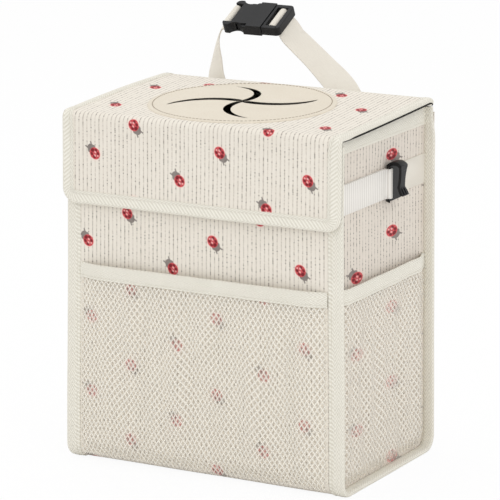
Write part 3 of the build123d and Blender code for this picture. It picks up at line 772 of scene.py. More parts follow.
def binding(hand, side):
    """Tape along a side's front, bottom and back edge; its back end leans in under the lid's corner."""
    path = tray_path(0, rim_high.z - 0.6 * mm)
    at_back = path[:, 0] > 0
    path[:, 1] += ease(path[:, 1], rim_low.z, rim_high.z) * np.where(at_back, rim_lift, -2.0 * mm)
    outward = outward_of(path)
    lengths = run_length(path)
    lean = back_lean * ease(path[:, 1], rim_low.z - 14 * mm, rim_high.z) * at_back
    room = np.where(path[:, 1] > tape_high.z, tape_high.x - side_face - 1.8 * mm, tape_high.x)
    sway = 0.25 * mm * ripple(lengths, lengths * 0.4, 7 if hand > 0 else 3) - lean
    rings = []
    for place, out, shift, most in zip(path, outward, sway, room):
        ring = [(hand * (tape_high.x + shift - min(inward, most)), *(place + out * rise))
                for inward, rise in binding_section()]
        rings.append(ring if hand > 0 else ring[::-1])
    rings = flared(rings)
    rings[..., 2] = np.maximum(rings[..., 2], 0)
    name = side + "_edge_tape"
    piece = tube(name, rings, lengths, "binding_tape")
    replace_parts(piece, side + "_binding")
    seam = np.insert(path + outward * 0.12 * mm, 0, hand * (tape_low.x + 2.7 * mm), axis=1)
    sew(name + "_stitches", flared(seam), np.insert(outward, 0, 0.0, axis=1),
        span=(2 * mm, tape_high.z - 2 * mm))


def rim_tape():
    """Tape over the four walls' top edge, which follows the bowed lid."""
    half_x, half_y = side_face + tape, rim_high.y
    path = outline(rectangle(half_x, half_y), [3 * mm] * 4, path_step, True)
    outward = outward_of(path, True)
    thick = half_x - (liner_high.x - 2.3 * mm)
    low, high = rim_low.z, rim_high.z
    section = [(0.0, low), (0.25 * mm, low + 0.6 * mm), (0.3 * mm, low + 4 * mm), (0.2 * mm, high - 2.4 * mm)]
    section += [(thick / 2 * (math.sin(turn) - 1), high - 2.0 * mm + 2.0 * mm * math.cos(turn))
                for turn in np.linspace(math.pi / 2, -math.pi / 2, 11)]
    section += [(-thick, low + 0.5 * mm), (-thick + 0.8 * mm, low), (-thick + tape, low),
                (-thick + tape, high - tape), (-tape, high - tape), (-tape, low)]
    y = path[:, 1]
    open_side = ease(y + half_y, 6 * mm, 30 * mm) * (1 - ease(y, 50 * mm, half_y - 6 * mm))
    lift = lid_wave(path[:, 0], lid_back - y) + lid_tape_low.z - high - 0.4 * mm - 0.9 * mm * open_side
    lift -= 1.8 * mm * ease(-y, half_y - 5 * mm, half_y - 1 * mm)
    rings = [[(*(place + out * rise), low + (height - low) * stretch) for rise, height in section]
             for place, out, stretch in zip(path, outward, 1 + lift / (high - low))]
    piece = tube("rim_tape", rings, run_length(path), "binding_tape", closed=True)
    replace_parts(piece, "rim_binding")
    seam = np.insert(path + outward * 0.28 * mm, 2, low + 2.2 * mm, axis=1)
    sew("rim_stitches", seam, np.insert(outward, 2, 0.0, axis=1), closed=True)


# Lid and flap: one cloth over the fold
def lid_wave(x, s):
    """How far lid and flap stand off their flat shape: the lid rises to its back and drops at its edge."""
    deep = np.clip((lid_run - s) / lid_run, 0, 1)
    bow = lid_rise * np.clip((deep - 0.1) / 0.85, 0, 1) ** 1.15 * (1 - 0.7 * ease(deep, 0.93, 1.0))
    bow = bow + lid_left_rise * ease(-x, 70 * mm, lid_half) * np.sin(math.pi * deep)
    down = np.clip((s - lid_run - fold_run) / (lid_sheet - lid_run - fold_run), 0, 1)
    curl = flap_curl * down ** 2 * (1 + np.sin(x * 31 + 0.6))
    return 0.3 * mm * ripple(x, s, 4) * (deep > 0) + bow + curl


def lid_place(x, s, rise):
    """Point of lid and flap: across, distance from the back edge over the fold, rise over the cloth."""
    x, s, rise = np.broadcast_arrays(*(np.asarray(value, float) for value in (x, s, rise)))
    turn = np.clip((s - lid_run) / fold_softness, 0, math.pi / 2)
    past = np.clip(s - lid_run - fold_run, 0, None)
    up = rise + lid_wave(x, s)
    y = np.where(s < lid_run, lid_back - s, fold_y) - (fold_softness + up) * np.sin(turn)
    z = fold_z + (fold_softness + up) * np.cos(turn) - past
    return np.stack([x, y, z], axis=-1)


def lid_edge_half(s, inset):
    """Half width of the sheet at a distance from the back edge, with its rounded corners."""
    half = lid_half - inset
    for radius, from_edge in ((back_corner - inset, s - inset), (flap_corner - inset, lid_sheet - inset - s)):
        short = np.clip(radius - from_edge, 0, radius)
        half = half - radius + np.sqrt(np.maximum(radius ** 2 - short ** 2, 0))
    return half


def lid_flap_sheet(name, rise, under_rise, slot, replaced, inset):
    """One sheet of lid and flap with the drop hole: its two faces' rises, on the lid and on the flap."""
    hole = np.array([disc_middle[0], lid_back - disc_middle[1]])
    patch, patch_steps, margin_steps = 72 * mm, 16, 12
    back, foot = 12 * mm, 14 * mm
    before = inset + back * (1 - np.cos(np.linspace(0, math.pi / 2, 7)))
    before = np.concatenate([before, np.linspace(before[-1], hole[1] - patch, 5)[1:]])
    foot_start = lid_sheet - inset - foot
    rows = np.concatenate([
        before,
        np.linspace(hole[1] - patch, hole[1] + patch, patch_steps + 1)[1:-1],
        np.linspace(hole[1] + patch, lid_run, 3),
        lid_run + fold_run * np.linspace(0, 1, 9)[1:],
        np.linspace(lid_run + fold_run, foot_start, 14)[1:],
        foot_start + foot * np.sin(np.linspace(0, math.pi / 2, 8))[1:]])
    left, right = hole[0] - patch, hole[0] + patch
    columns = np.concatenate([
        np.linspace(inset - lid_half, left, margin_steps + 1)[:-1],
        np.linspace(left, right, patch_steps + 1),
        np.linspace(right, lid_half - inset, margin_steps + 1)[1:]])
    half = lid_edge_half(rows, inset)[:, None]
    x = np.clip(columns[None, :], -half, half)
    flat = np.stack([x, np.broadcast_to(rows[:, None], x.shape)], axis=2)
    inside = (np.abs((flat[:-1, :-1] + flat[1:, 1:]) / 2 - hole) < patch).all(axis=2)
    quads = [quad for quad, hidden in zip(grid_faces(*x.shape, flip=True), inside.ravel()) if not hidden]

    number = np.arange(x.size).reshape(x.shape)
    number = number[len(before) - 1:len(before) + patch_steps, margin_steps:margin_steps + patch_steps + 1]
    edge = [number[0, :-1], number[:-1, -1], number[-1, :0:-1], number[:0:-1, 0]]
    border = np.concatenate(edge).tolist()
    flat = flat.reshape(-1, 2)
    away = flat[border] - hole
    circle = away / np.linalg.norm(away, axis=1, keepdims=True) * drop_hole
    outer = border
    for share in (0.5, 1.0):
        inner = list(range(len(flat), len(flat) + len(border)))
        flat = np.concatenate([flat, hole + away * (1 - share) + circle * share])
        quads += [[inner[k - 1], inner[k], outer[k], outer[k - 1]] for k in range(len(border))]
        outer = inner
    used, quads = compact(quads)
    x, s = flat[used].T
    on_flap = ease(s, lid_run, lid_run + fold_run)
    points = [lid_place(x, s, lid + (flap - lid) * on_flap) for lid, flap in (rise, under_rise)]
    on_lid = np.clip(lid_run - s, 0, None)
    height = lid_top - np.clip(s - lid_run, 0, None) + on_lid / lid_print_stretch
    coords = np.stack([x - beetle_start_flap[0] + lid_print_drift * on_lid / lid_run,
                       height - beetle_start_flap[1]], axis=1)
    faces = two_faced(quads, len(used))
    piece = make_piece(name, np.concatenate(points), faces, np.concatenate([coords] * 2), slot, None)
    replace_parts(piece, *replaced)
    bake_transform(piece)
    wide, long = 2 * (lid_half - inset), lid_sheet - 2 * inset
    wide * long - math.pi * drop_hole ** 2


def lid_board():
    """The lid's board, bowed with its cloth."""
    inset = 7 * mm
    rows = np.linspace(inset, lid_run - 1 * mm, 24)
    columns = np.linspace(inset - lid_half, lid_half - inset, 41)
    x, s = np.meshgrid(columns, rows)
    far = np.hypot(x - disc_middle[0], s - (lid_back - disc_middle[1]))
    keep = (far > drop_hole + 2 * mm).ravel()
    quads = [quad for quad in grid_faces(*x.shape, flip=True) if keep[quad].all()]
    points = np.concatenate([lid_place(x, s, rise) for rise in (-cloth_sheet, -cloth_sheet - board_sheet)])
    coords = np.concatenate([np.stack([x, s], axis=2)] * 2)
    piece = make_piece("bowed_board", points, two_faced(quads, x.size), coords, "stiff_board", "lid")
    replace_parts(piece, "lid_board")


def lid_flap_tape():
    """Tape round the lid's sides and back and the flap's sides and lower edge."""
    corners = [(-lid_half, 0.0), (lid_half, 0.0), (lid_half, lid_sheet), (-lid_half, lid_sheet)]
    path = outline(corners, [back_corner, back_corner, flap_corner, flap_corner], 3 * mm, True)
    outward = outward_of(path, True)
    s = path[:, 1]
    wide = lid_tape_wide + flap_tape_extra * ease(s, lid_run - 10 * mm, lid_run + fold_run + 10 * mm)
    # Along the lid's sides the tape's foot is shorter, so the dark lining's edge shows under it: a dark line that
    # is partly painted shade for the gap between lid and rim.
    bare = ease(s, 7 * mm, 16 * mm) * ease(lid_run - s, 10 * mm, 22 * mm)
    foot = lid_panel + lid_tape - 1.5 * mm * bare
    rings = []
    for place, out, width, low in zip(path, outward, wide, foot):
        section = [(width, -0.1 * mm), (width, 0.3 * mm), (width - 0.5 * mm, lid_tape),
                   (width - 1.8 * mm, lid_tape + 0.1 * mm), (width - 2.6 * mm, lid_tape - 0.15 * mm),
                   (width - 3.4 * mm, lid_tape + 0.15 * mm)]
        section += [(inward, lid_tape + drop) for inward, drop in half_round(low + lid_tape, 9)]
        section += [(width - 0.6 * mm, -low), (width, -low + 0.4 * mm), (width, -low + 0.8 * mm),
                    (1.2 * mm, -low + 0.8 * mm), (1.2 * mm, -0.1 * mm)]
        inward, rises = np.array(section).T
        rings.append(lid_place(*(place[:, None] - out[:, None] * inward), rises))
    piece = tube("lid_flap_tape", rings, run_length(path), "binding_tape", None, closed=True)
    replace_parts(piece, "lid_binding", "flap_binding")
    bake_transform(piece)
    seam = lid_place(*(path - outward * (wide - 2.6 * mm)[:, None]).T, lid_tape - 0.05 * mm)
    inner = (path - outward * 4 * mm).T
    normals = (lid_place(*inner, 2 * mm) - lid_place(*inner, 0.0)) / (2 * mm)
    stitches = sew("lid_flap_stitches", seam, normals, None, True)
    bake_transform(stitches)


# Disc with its pinwheel slit
disc_radius = (disc_high.x - disc_low.x) / 2 + 2.2 * mm
disc_centre = (disc_middle[0] - 1.8 * mm, disc_middle[1])
disc_sheet = 1.2 * mm
disc_cut = 0.3 * mm
disc_dome = 0.8 * mm
disc_seam = 74.2 * mm
disc_roll = 0.7 * mm
disc_roll_from = 76.2 * mm
disc_rings = (1.6, 3, 5, 8, 12, 17, 23, 29, 35, 41, 47, 53, 58, 61, 62.4,
              63.0, 65, 67.5, 70, 72, 74, 76, 77.2)
slit_reach = 63.0 * mm
slit_turn = math.radians(33)
slit_bow = 15.3 * mm
slit_width = 8.6 * mm
slit_spread = (1.25, 0.92)


def slit_heading(radius):
    """Direction of a slit arm's middle line at a distance from the disc's centre."""
    bend = (slit_reach ** 2 / 4 + slit_bow ** 2) / (2 * slit_bow)
    return slit_turn - math.acos(min(radius, slit_reach) / (2 * bend)) + math.acos(slit_reach / (2 * bend))


def lid_disc():
    """The coated sheet over the drop hole: four petals between bowed slit arms, joined at their rim."""
    radii = [ring * mm for ring in disc_rings] + [disc_radius]
    top = lid_top + disc_sheet
    petal_steps = 24
    rings = []
    for radius in radii:
        share = min(radius / slit_reach, 1.0)
        gap = slit_width * (1 - share ** 4) ** 0.6 * (0.8 + 0.2 * share)
        half_gaps = [min(gap * wide / 2 / radius, math.radians(44)) for wide in slit_spread]
        angles = []
        for quarter in range(4):
            half_gap, next_gap = half_gaps[quarter % 2], half_gaps[(quarter + 1) % 2]
            start = slit_heading(radius) + quarter * math.pi / 2 + half_gap
            angles.append(start + np.linspace(0, math.pi / 2 - half_gap - next_gap, petal_steps + 1))
        angles = np.concatenate(angles)
        x, y = disc_centre[0] + radius * np.cos(angles), disc_centre[1] + radius * np.sin(angles)
        dome = disc_dome * max(0.0, 1 - (radius / drop_hole) ** 2)
        roll = disc_roll * max(0.0, (radius - disc_roll_from) / (2 * mm)) ** 2
        rings.append(np.stack([x, y, top + dome - roll + lid_wave(x, lid_back - y)], axis=1))
    points = np.concatenate(rings)
    columns = 4 * (petal_steps + 1)
    is_slit = [column % (petal_steps + 1) == petal_steps for column in range(columns - 1)] * (len(radii) - 1)
    quads = [quad for quad, slit in zip(grid_faces(len(radii), columns, flip=True), is_slit) if not slit]
    first_at = {}
    merged = [first_at.setdefault(tuple(np.round(point / (0.02 * mm)).astype(int)), number)
              for number, point in enumerate(points)]
    used, quads = compact([[merged[corner] for corner in quad] for quad in quads])
    upper = points[used]
    from_middle = np.hypot(upper[:, 0] - disc_centre[0], upper[:, 1] - disc_centre[1])
    thick = np.where(from_middle > slit_reach + 1 * mm, disc_sheet - 0.1 * mm, disc_cut)
    sheet = np.concatenate([upper, upper - thick[:, None] * np.array([0, 0, 1])])
    faces = two_faced(quads, len(used))
    piece = make_piece("slit_disc", sheet, faces, sheet[:, :2], "disc_sheet", "lid", sharp=50)
    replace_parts(piece, "lid_disc")
    turns = np.linspace(0, 2 * math.pi, 181)[:-1]
    x, y = disc_centre[0] + disc_seam * np.cos(turns), disc_centre[1] + disc_seam * np.sin(turns)
    seam = np.stack([x, y, top + 0.1 * mm + lid_wave(x, lid_back - y)], axis=1)
    sew("disc_stitches", seam, (0.0, 0.0, 1.0), "lid", True, brown_thread, "disc_sheet",
        3.4 * mm, 2.5 * mm, 0.35 * mm)


# Net pockets: diamonds of thread on a gathered wall, under a hem band
net_step = (2.05 * mm, 3.25 * mm)
net_hole = (0.25, 0.4)
net_knot = 0.35 * mm
net_sheet = 0.32 * mm
pocket_stand = 6.0 * mm
hem_overlap = 3 * mm


def pocket_depth(across, height, half, toe, seed):
    """How far the net stands off the panel."""
    beside = 0.14 + 0.86 * ease(half - np.abs(across), 0.0, 18 * mm)
    above = ease(height, toe, toe + 14 * mm)
    gather = np.sin(across * 150 + 1.3 * np.sin(across * 37 + seed))
    gather = gather + 0.8 * np.sin(across * 283 + seed + height * 3)
    crease = np.abs(np.sin(across * 47 + seed + 0.6 * np.sin(height * 21))) ** 10
    belly = ease(height, toe, toe + 60 * mm) * ease(hem_low.z + 10 * mm - height, 0, 70 * mm)
    fold = ((0.4 + 0.6 * belly) * gather - (1.0 + 2.6 * belly) * crease) * mm
    loose = 0.35 + 0.65 * ease(hem_low.z - height, 0, 20 * mm)
    return 0.35 * mm + above * beside * (pocket_stand + fold * loose)


def net_mesh(name, place, half, toe, top, spread, slack):
    """A lattice of diamond holes; place(across, height, out) gives points."""
    columns = int(half * 2 / net_step[0] / spread) // 2 * 2
    rows = int((top - toe) / net_step[1]) // 2 * 2
    step = np.array([half * 2 / columns, (top - toe) / rows])
    diamond = [(1, 0), (0.5, 0.5), (0, 1), (-0.5, 0.5), (-1, 0), (-0.5, -0.5), (0, -1), (0.5, -0.5)]
    knots = {}
    lattice = []
    rise = []
    quads = []

    def knot(i, j):
        if (i, j) not in knots:
            knots[i, j] = len(lattice)
            lattice.append((i, j))
            rise.append(net_knot)
        return knots[i, j]

    for i in range(1, columns):
        for j in range(1 + i % 2, rows, 2):
            outer = [knot(i + a, j + b) for a, b in diamond]
            inner = list(range(len(lattice), len(lattice) + len(diamond)))
            for a, b in diamond:
                pull = 1.0 if a == 0 or b == 0 else 1.4
                lattice.append((i + a * pull * net_hole[0], j + b * pull * net_hole[1]))
                rise.append(0.0)
            quads += [[outer[k - 1], outer[k], inner[k], inner[k - 1]] for k in range(len(diamond))]
    lattice = np.array(lattice)
    rise = np.array(rise)
    across, height = (lattice * step + np.array([-half, toe])).T
    up_share = (height - toe) / (top - toe)
    free = np.sin(math.pi * np.clip(up_share, 0, 1)) * ease(half - np.abs(across), 0, 25 * mm)
    sag = slack * mm * (4.5 * np.sin(across * 66 + 0.8) + 2.6 * np.sin(across * 153 + 2.0))
    pull_in = slack * 1.3 * mm * np.sin(across * 190 + up_share * 5.0)
    across, height = across + pull_in * free, height + sag * free
    points = np.concatenate([place(across, height, rise), place(across, height, -net_sheet - rise)])
    faces = two_faced(quads, len(lattice))
    return make_piece(name, points, faces, np.concatenate([lattice * mm] * 2), "pocket_net", sharp=80)


def hem_band(name, place, half, low, high, replaced, facing):
    """Folded tape along a net's upper edge."""
    across = np.linspace(-half, half, int(half * 2 / (3 * mm)))
    middle = (low + high) / 2
    section = [(low, 0.2), (low + 0.3 * mm, 0.85), (low + 1.6 * mm, 0.95), (low + 2.3 * mm, 0.75),
               (low + 3.2 * mm, 1.0), (middle, 1.15), (high - 1.0 * mm, 1.0), (high - 0.2 * mm, 0.5),
               (high, 0.0), (high - 0.2 * mm, -0.5), (high - 1.0 * mm, -0.7), (middle, -0.7),
               (low + 0.4 * mm, -0.6), (low, -0.2)]
    height, out = np.array(section).T
    x, z = np.meshgrid(across, height, indexing="ij")
    piece = tube(name, place(x, z, out * mm), across - across[0], "binding_tape")
    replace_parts(piece, replaced)
    seam = place(across, np.full(len(across), low + 2.3 * mm), 0.85 * mm)
    sew(name + "_stitches", seam, facing)
    return piece


def pocket(side, place, half, toe, low, high, spread, slack, wall, facing):
    """A net with its hem: the toe's height, the hem's two edges, and the mesh's spread and slack."""
    net = net_mesh(side + "_pocket_net", place, half, toe, low + hem_overlap, spread, slack)
    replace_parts(net, side + "_net")
    hem = hem_band(side + "_pocket_hem", place, half, low, high, side + "_hem", facing)


def front_pocket():
    half = net_high.x - 0.3 * mm
    toe = net_low.z

    def place(across, height, out):
        depth = pocket_depth(across, np.minimum(height, hem_low.z + 6 * mm), half, toe, 0.7)
        return flared(np.stack([across, front_face - depth - out, height], axis=-1))

    pocket("front", place, half, toe, hem_low.z, hem_high.z, spread=1.0, slack=0.7, wall="cover_cloth",
           facing=(0.0, -1.0, 0.0))


def side_pocket(hand, side):
    half = side_hem_high.y - 0.2 * mm
    toe = side_net_toe
    low = side_hem_low.z
    foot = 11 * mm

    def place(across, height, out):
        depth = pocket_depth(across, np.minimum(height, low + 6 * mm), half, toe, 2.9) * 0.95
        below = np.clip((toe + foot - height) / foot, 0, None)
        reach = np.sqrt(np.maximum(1 - below ** 2, 0))
        most = half - 10.5 * mm * (1 - reach)
        x, y = hand * (side_face + depth + out), hand * np.clip(across, -most, most)
        return flared(np.stack([x, y, height], axis=-1))

    pocket(side, place, half, toe, low, side_hem_high.z, spread=1.35, slack=0.4, wall=side + "_side_cloth",
           facing=(float(hand), 0.0, 0.0))


# Side bands
def band_tube(name, path, hand, low, high, thick, slot, replaced):
    """A flat band standing on edge, along a path seen from above."""
    edge = 0.35 * mm
    half = thick / 2
    middle = (low + high) / 2
    section = [(-half, low + edge), (-half + edge, low), (half - edge, low), (half, low + edge),
               (half, middle), (half, high - edge), (half - edge, high), (-half + edge, high),
               (-half, high - edge), (-half, middle)]
    rings = []
    for place, out in zip(path, outward_of(path)):
        ring = [(*((place + out * rise) * (hand, 1)), height) for rise, height in section]
        rings.append(ring[::-1] if hand > 0 else ring)
    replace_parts(tube(name, rings, run_length(path), slot), replaced)


def side_bands(hand, side):
    """The elastic, round the clip's bar and back onto itself, and the plain band behind the clip."""
    thick = band_high.x - band_low.x
    middle = band_low.x + thick / 2
    ring = clip_bar.x - middle
    run = np.stack([np.full(40, middle), np.linspace(elastic_low.y, clip_bar.y, 40)], axis=1)
    run[:, 0] += 0.04 * mm * np.sin(run[:, 1] * 420)
    turns = np.linspace(math.pi, -0.3 * math.pi, 20)[1:]
    bend = np.stack([clip_bar.x + ring * np.cos(turns), clip_bar.y + ring * np.sin(turns)], axis=1)
    second = middle + thick + 0.08 * mm
    laid = [(second + 0.9 * mm, clip_bar.y - 3.6 * mm), (second + 0.25 * mm, clip_bar.y - 5.2 * mm),
            (second, clip_bar.y - 7.5 * mm), (second, clip_bar.y - 14 * mm), (second, elastic_low.y + 2 * mm)]
    band_tube(side + "_elastic_band", np.concatenate([run, bend, laid]), hand, elastic_low.z, elastic_high.z,
              thick, "elastic_band", side + "_elastic")
    plain = np.stack([np.full(24, middle), np.linspace(band_low.y, band_high.y, 24)], axis=1)
    band_tube(side + "_plain_band", plain, hand, band_low.z, band_high.z, thick, "webbing",
              side + "_back_band")


# Inside: dark liner
def liner_bag():
    half_x, half_y = liner_high.x, liner_high.y
    low, high = liner_low.z, liner_high.z
    rim = outline(rectangle(half_x, half_y), [5 * mm] * 4, 6 * mm, True)
    rows = [np.insert(rim * share, 2, low, axis=1) for share in (0.02, 0.25, 0.5, 0.75, 0.9, 0.97)]
    for height in np.linspace(low + 1.5 * mm, high, 50):
        slack = 0.35 * mm * (1 + ripple(rim[:, 0] + rim[:, 1], np.full(len(rim), height), 6))
        inward = (1 - ease(height, low, low + 9 * mm)) * 3 * mm + slack
        scale = np.stack([1 - inward / half_x, 1 - inward / half_y], axis=1)
        rows.append(np.insert(rim * scale, 2, height, axis=1))
    outer = np.array(rows)
    around = np.broadcast_to(run_length(rim)[None, :], outer.shape[:2])
    coords = np.stack([around, outer[..., 2]], axis=2)
    piece = slab("liner_bag", outer, coords, 0.5 * mm, "liner_film", loop=True, flip=True)
    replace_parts(piece, "liner")
    girth = run_length(np.concatenate([rim, rim[:1]]))[-1]


# Hinge tape on the back and closing strips under the flap
def hinge_tape():
    """Tape on the back, from the hinge strip up to just under the lid's top."""
    half = hinge_high.x
    top = lid_top - 1.2 * mm
    heights = np.concatenate([np.linspace(hinge_low.z, hinge_high.z, 12), [hinge_high.z + 2 * mm, top]])
    x, z = np.meshgrid(np.linspace(-half, half, 40), heights)
    y = np.where(z > hinge_high.z, hinge_high.y - 0.1 * mm, hinge_high.y) + 0.12 * mm * ripple(x, z, 8)
    outer = np.stack([x, y, z], axis=2)
    piece = slab("hinge_tape", outer, np.stack([z, x], axis=2), 0.7 * mm, "binding_tape", None)
    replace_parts(piece, "hinge_strip")
    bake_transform(piece)


def closing_strip(name, node, body, facing):
    """The pile of a closing strip, on the face that looks along y or against it."""
    low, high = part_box(node)
    x, z = np.meshgrid(np.linspace(low.x, high.x, 31), np.linspace(low.z, high.z, 13))
    edge = np.minimum.reduce([x - low.x, high.x - x, z - low.z, high.z - z])
    soft = 0.5 * mm * (1 - ease(edge, 0, 2.5 * mm))
    y = (high.y if facing > 0 else low.y) - facing * (soft + 0.05 * mm)
    outer, coords = np.stack([x, y, z], axis=2), np.stack([x, z], axis=2)
    piece = slab(name, outer, coords, (high.y - low.y) * 0.6, "closing_strip", body, flip=facing < 0)
    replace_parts(piece, node)


def soften(name):
    """Rounds a moulded piece's edges."""
    piece = nodes[name]
    weld = piece.modifiers.new("weld", "WELD")
    weld.merge_threshold = 0.01 * mm
    bevel = piece.modifiers.new("soft_edges", "BEVEL")
    bevel.width = 0.55 * mm
    bevel.segments = 2
    bevel.limit_method = "ANGLE"
    bevel.angle_limit = math.radians(40)


# Carry strap
strap_half = 12.5 * mm
strap_thick = 1.4 * mm
strap_drop = 5.2 * mm
strap_back = cover_high.y + 1.0 * mm
buckle_middle = Vector((-59.0 * mm, tape_high.y + 33.5 * mm, rim_high.z + 58.3 * mm))
buckle_tilt = math.radians(26.6)
buckle_breadth = Vector((0, math.cos(buckle_tilt), math.sin(buckle_tilt)))
buckle_lift = Vector((0, -math.sin(buckle_tilt), math.cos(buckle_tilt)))
socket_bar = -25.8 * mm
plug_bar = 20.3 * mm
# Across the bin, out from the back, height over the rim, in mm, and the way across the strap
left_route = [
    ((-62.0, 0.0, -68.0), (-0.99, 0.0, -0.12)),
    ((-67.0, 0.0, -38.0), (-0.99, 0.0, -0.16)),
    ((-79.0, 7.4, -16.0), (-0.95, 0.2, -0.2)),
    ((-91.0, 16.9, 5.0), (-0.86, 0.5, -0.1)),
    ((-96.0, 25.9, 21.5), (-0.7, 0.71, 0.0)),
    ((-97.5, 31.9, 37.0), (-0.47, 0.87, 0.12)),
    ((-94.0, 35.0, 48.5), (-0.2, 0.92, 0.32)),
]
right_route = [
    ((63.0, 0.0, -68.0), (0.99, 0.0, 0.12)),
    ((59.0, 0.0, -38.0), (0.97, 0.0, 0.22)),
    ((47.9, 9.4, -15.8), (0.82, 0.22, 0.53)),
    ((31.1, 19.5, 5.4), (0.52, 0.62, 0.58)),
    ((6.4, 27.8, 23.6), (0.28, 0.85, 0.45)),
    ((-14.5, 30.9, 39.0), (0.18, 0.88, 0.44)),
    ((-25.0, 33.2, 46.4), (0.1, 0.9, 0.44)),
]


def smooth_row(values, steps):
    """Smooth curve through a row of vectors."""
    values = np.array(values, float)
    padded = np.concatenate([2 * values[:1] - values[1:2], values, 2 * values[-1:] - values[-2:-1]])
    out = []
    for a, b, c, d in zip(padded, padded[1:], padded[2:], padded[3:]):
        for t in np.arange(steps) / steps:
            bent = (2 * a - 5 * b + 4 * c - d) * t ** 2 + (3 * b - a - 3 * c + d) * t ** 3
            out.append(0.5 * (2 * b + (c - a) * t + bent))
    return np.array(out + [values[-1]])


def ribbon(path, cross):
    """Rings of a flat strap along a path."""
    along = tangents(path)
    cross = cross - along * np.sum(cross * along, axis=1, keepdims=True)
    cross /= np.linalg.norm(cross, axis=1, keepdims=True)
    section = [(share, 0.5 - 0.18 * abs(share) ** 6) for share in np.linspace(-1, 1, 9)]
    section += [(share, -height) for share, height in section[::-1]]
    return [[place + beside * share * strap_half + up * height * strap_thick for share, height in section]
            for place, beside, up in zip(path, cross, np.cross(along, cross))]


def strap(name, route, bar, hand, ring, lean, replaced):
    """Webbing from its sewn end up to and round the buckle's bar, back onto itself."""
    centres = [(x * mm, strap_back + out * mm, rim_high.z + rise * mm) for (x, out, rise), _ in route]
    across = [Vector(cross).normalized() for _, cross in route] + [buckle_breadth] * 2
    bar_middle = buckle_middle + Vector((bar, 0, 0))

    def by_bar(over, up):
        return np.array(bar_middle + Vector((hand * over, 0, 0)) + buckle_lift * up)

    path = smooth_row(centres + [by_bar(ring + lean, -strap_drop), by_bar(ring, 0.0)], 8)
    turns = np.linspace(0, math.pi, 12)[1:]
    bend = [by_bar(ring * math.cos(turn), ring * math.sin(turn)) for turn in turns]
    tail = [by_bar(-ring, -2.5 * mm), by_bar(-ring * 0.5, -5.0 * mm), by_bar(ring * 0.45, -7.5 * mm)]
    full = np.concatenate([path, bend, smooth_row(tail, 3)])
    cross = smooth_row(across, 8)
    cross = np.concatenate([cross, np.tile(buckle_breadth, (len(full) - len(cross), 1))])
    piece = tube(name, ribbon(full, cross), run_length(full), "webbing", None)
    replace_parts(piece, replaced)
    return piece


# Stage, light and camera
view_azimuth = math.radians(28.19)
view_elevation = math.radians(13.56)
view_roll = math.radians(0.18)
view_distance = 2.6773
view_target = Vector((0, 0, 0.140))
target_pixel = (252.18, 291.89)
focal_pixels = 3200.0
image_size = 500.0
sky_strength = 0.84
floor_white = 0.93


def camera():
    """The photo's view."""
    data = bpy.data.cameras.new("photo_view")
    data.sensor_width = 36.0
    data.lens = focal_pixels * data.sensor_width / image_size
    data.clip_end = 20
    eye = place_in_scene("photo_view", data)
    level = math.cos(view_elevation)
    back = Vector((math.sin(view_azimuth) * level, -math.cos(view_azimuth) * level, math.sin(view_elevation)))
    right = Vector((math.cos(view_azimuth), math.sin(view_azimuth), 0))
    up = back.cross(right)
    offset = [(image_size / 2 - pixel) / focal_pixels for pixel in target_pixel]
    ahead = (-back + right * offset[0] - up * offset[1]).normalized()
    eye.location = view_target + back * view_distance
    eye.rotation_mode = "QUATERNION"
    roll = Matrix.Rotation(view_roll, 3, "Z").to_quaternion()
    eye.rotation_quaternion = ahead.to_track_quat("-Z", "Y") @ roll
    bpy.context.scene.camera = eye


def seen_white(finish, surface, share):
    """Mixes plain white in for what the camera, reflections and glass see of the stage."""
    path = finish.node("LightPath")
    seen = Value(finish, path.outputs["Is Camera Ray"])
    for ray in ("Is Glossy Ray", "Is Transmission Ray"):
        seen = seen.most(Value(finish, path.outputs[ray]))
    white = finish.node("Emission", {}, {"Color": (1, 1, 1, 1), "Strength": 1.0})
    return finish.node("MixShader", {}, {0: seen * share, 1: surface, 2: white.outputs[0]}).outputs[0]


def floor():
    """Ground that looks white but for faint shadows."""
    mesh = bpy.data.meshes.new("floor")
    mesh.from_pydata([(x, y, 0) for x, y in rectangle(3.0, 3.0)], [], [(0, 1, 2, 3)])
    finish = Finish("floor", **{"Base Color": (0.94, 0.94, 0.94, 1), "Roughness": 0.9})
    output = next(node for node in finish.tree.nodes if node.type == "OUTPUT_MATERIAL")
    finish.feed(output.inputs["Surface"], seen_white(finish, finish.shader.outputs[0], floor_white))
    mesh.materials.append(finish.material)
    place_in_scene("floor", mesh)


class Sky(Finish):
    """The world's nodes."""

    def __init__(self):
        world = bpy.data.worlds.new("studio")
        world.use_nodes = True
        bpy.context.scene.world = world
        self.tree = world.node_tree
        self.tree.nodes.clear()


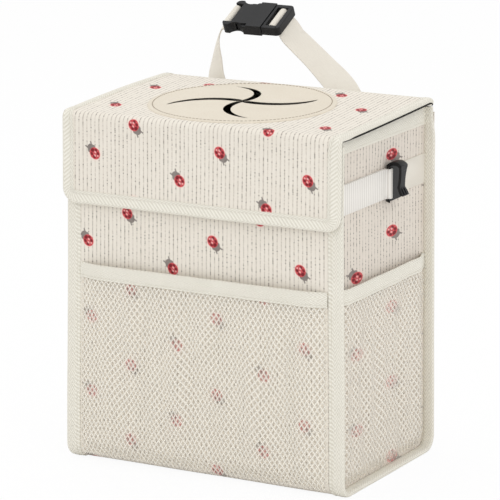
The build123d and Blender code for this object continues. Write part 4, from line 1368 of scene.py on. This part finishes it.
def studio(lamps):
    """Even white surroundings and round soft lamps."""
    sky = Sky()
    soft = sky.node("Background", {}, {"Color": (1.0, 1.0, 1.0, 1), "Strength": sky_strength})
    sky.node("OutputWorld", {}, {"Surface": seen_white(sky, soft.outputs[0], 1.0)})
    for name, place, aim, size, power in lamps:
        data = bpy.data.lights.new(name, "AREA")
        data.shape = "DISK"
        data.size = size
        data.energy = power
        lamp = place_in_scene(name, data)
        lamp.location = place
        lamp.rotation_mode = "QUATERNION"
        lamp.rotation_quaternion = (Vector(aim) - Vector(place)).to_track_quat("-Z", "Y")


# Everything in its place
for subpart in frame["record"]["subparts"]:
    node = nodes[subpart["node"]]
    node.data.materials.clear()
    node.data.materials.append(finishes[subpart["material_slot"]])

cover_cloth()
for hand, side in sides:
    side_cloth(hand, side)
for hand, side in sides:
    binding(hand, side)
rim_tape()
liner_bag()
lid_flap_sheet("lid_flap_cloth", (0.0, 0.0), (-cloth_sheet, -cloth_sheet), "printed_cloth",
               ("lid_cover", "flap_cover"), 0.8 * mm)
# The lining's edge reaches past the cloth's, under the lid's tape; its dark edge is partly painted shade for the
# gap between lid and rim.
lid_flap_sheet("lid_flap_lining", (-2.9 * mm, -3.0 * mm), (-4.3 * mm, -4.0 * mm), "lining_cloth",
               ("lid_lining", "flap_lining"), 0.5 * mm)
lid_board()
lid_flap_tape()
lid_disc()
front_pocket()
for hand, side in sides:
    side_pocket(hand, side)
for hand, side in sides:
    side_bands(hand, side)
left_webbing = strap("left_webbing", left_route, socket_bar, -1, 2.8 * mm, 0.0, "left_strap")
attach(left_webbing, "bin")
right_webbing = strap("right_webbing", right_route, plug_bar - 0.9 * mm, 1, 3.4 * mm, 4.6 * mm, "right_strap")
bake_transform(right_webbing)
hinge_tape()
closing_strip("flap_pile", "flap_hook_strip", "flap", 1)
closing_strip("front_pile", "front_loop_strip", "bin", -1)
for name in ("buckle_socket", "buckle_plug", "right_clip", "left_clip"):
    soften(name)

camera()
floor()
studio([
    ("key", (-2.6, -0.9, 1.2), (0, 0, 0.15), 1.6, 9.0),
    ("fill", (2.1, -1.5, 1.0), (0, 0, 0.15), 1.6, 10.5),
    ("top", (-0.3, 0.3, 2.4), (0, 0, 0.3), 1.5, 9.0),
])
bpy.context.scene.view_settings.view_transform = "Standard"
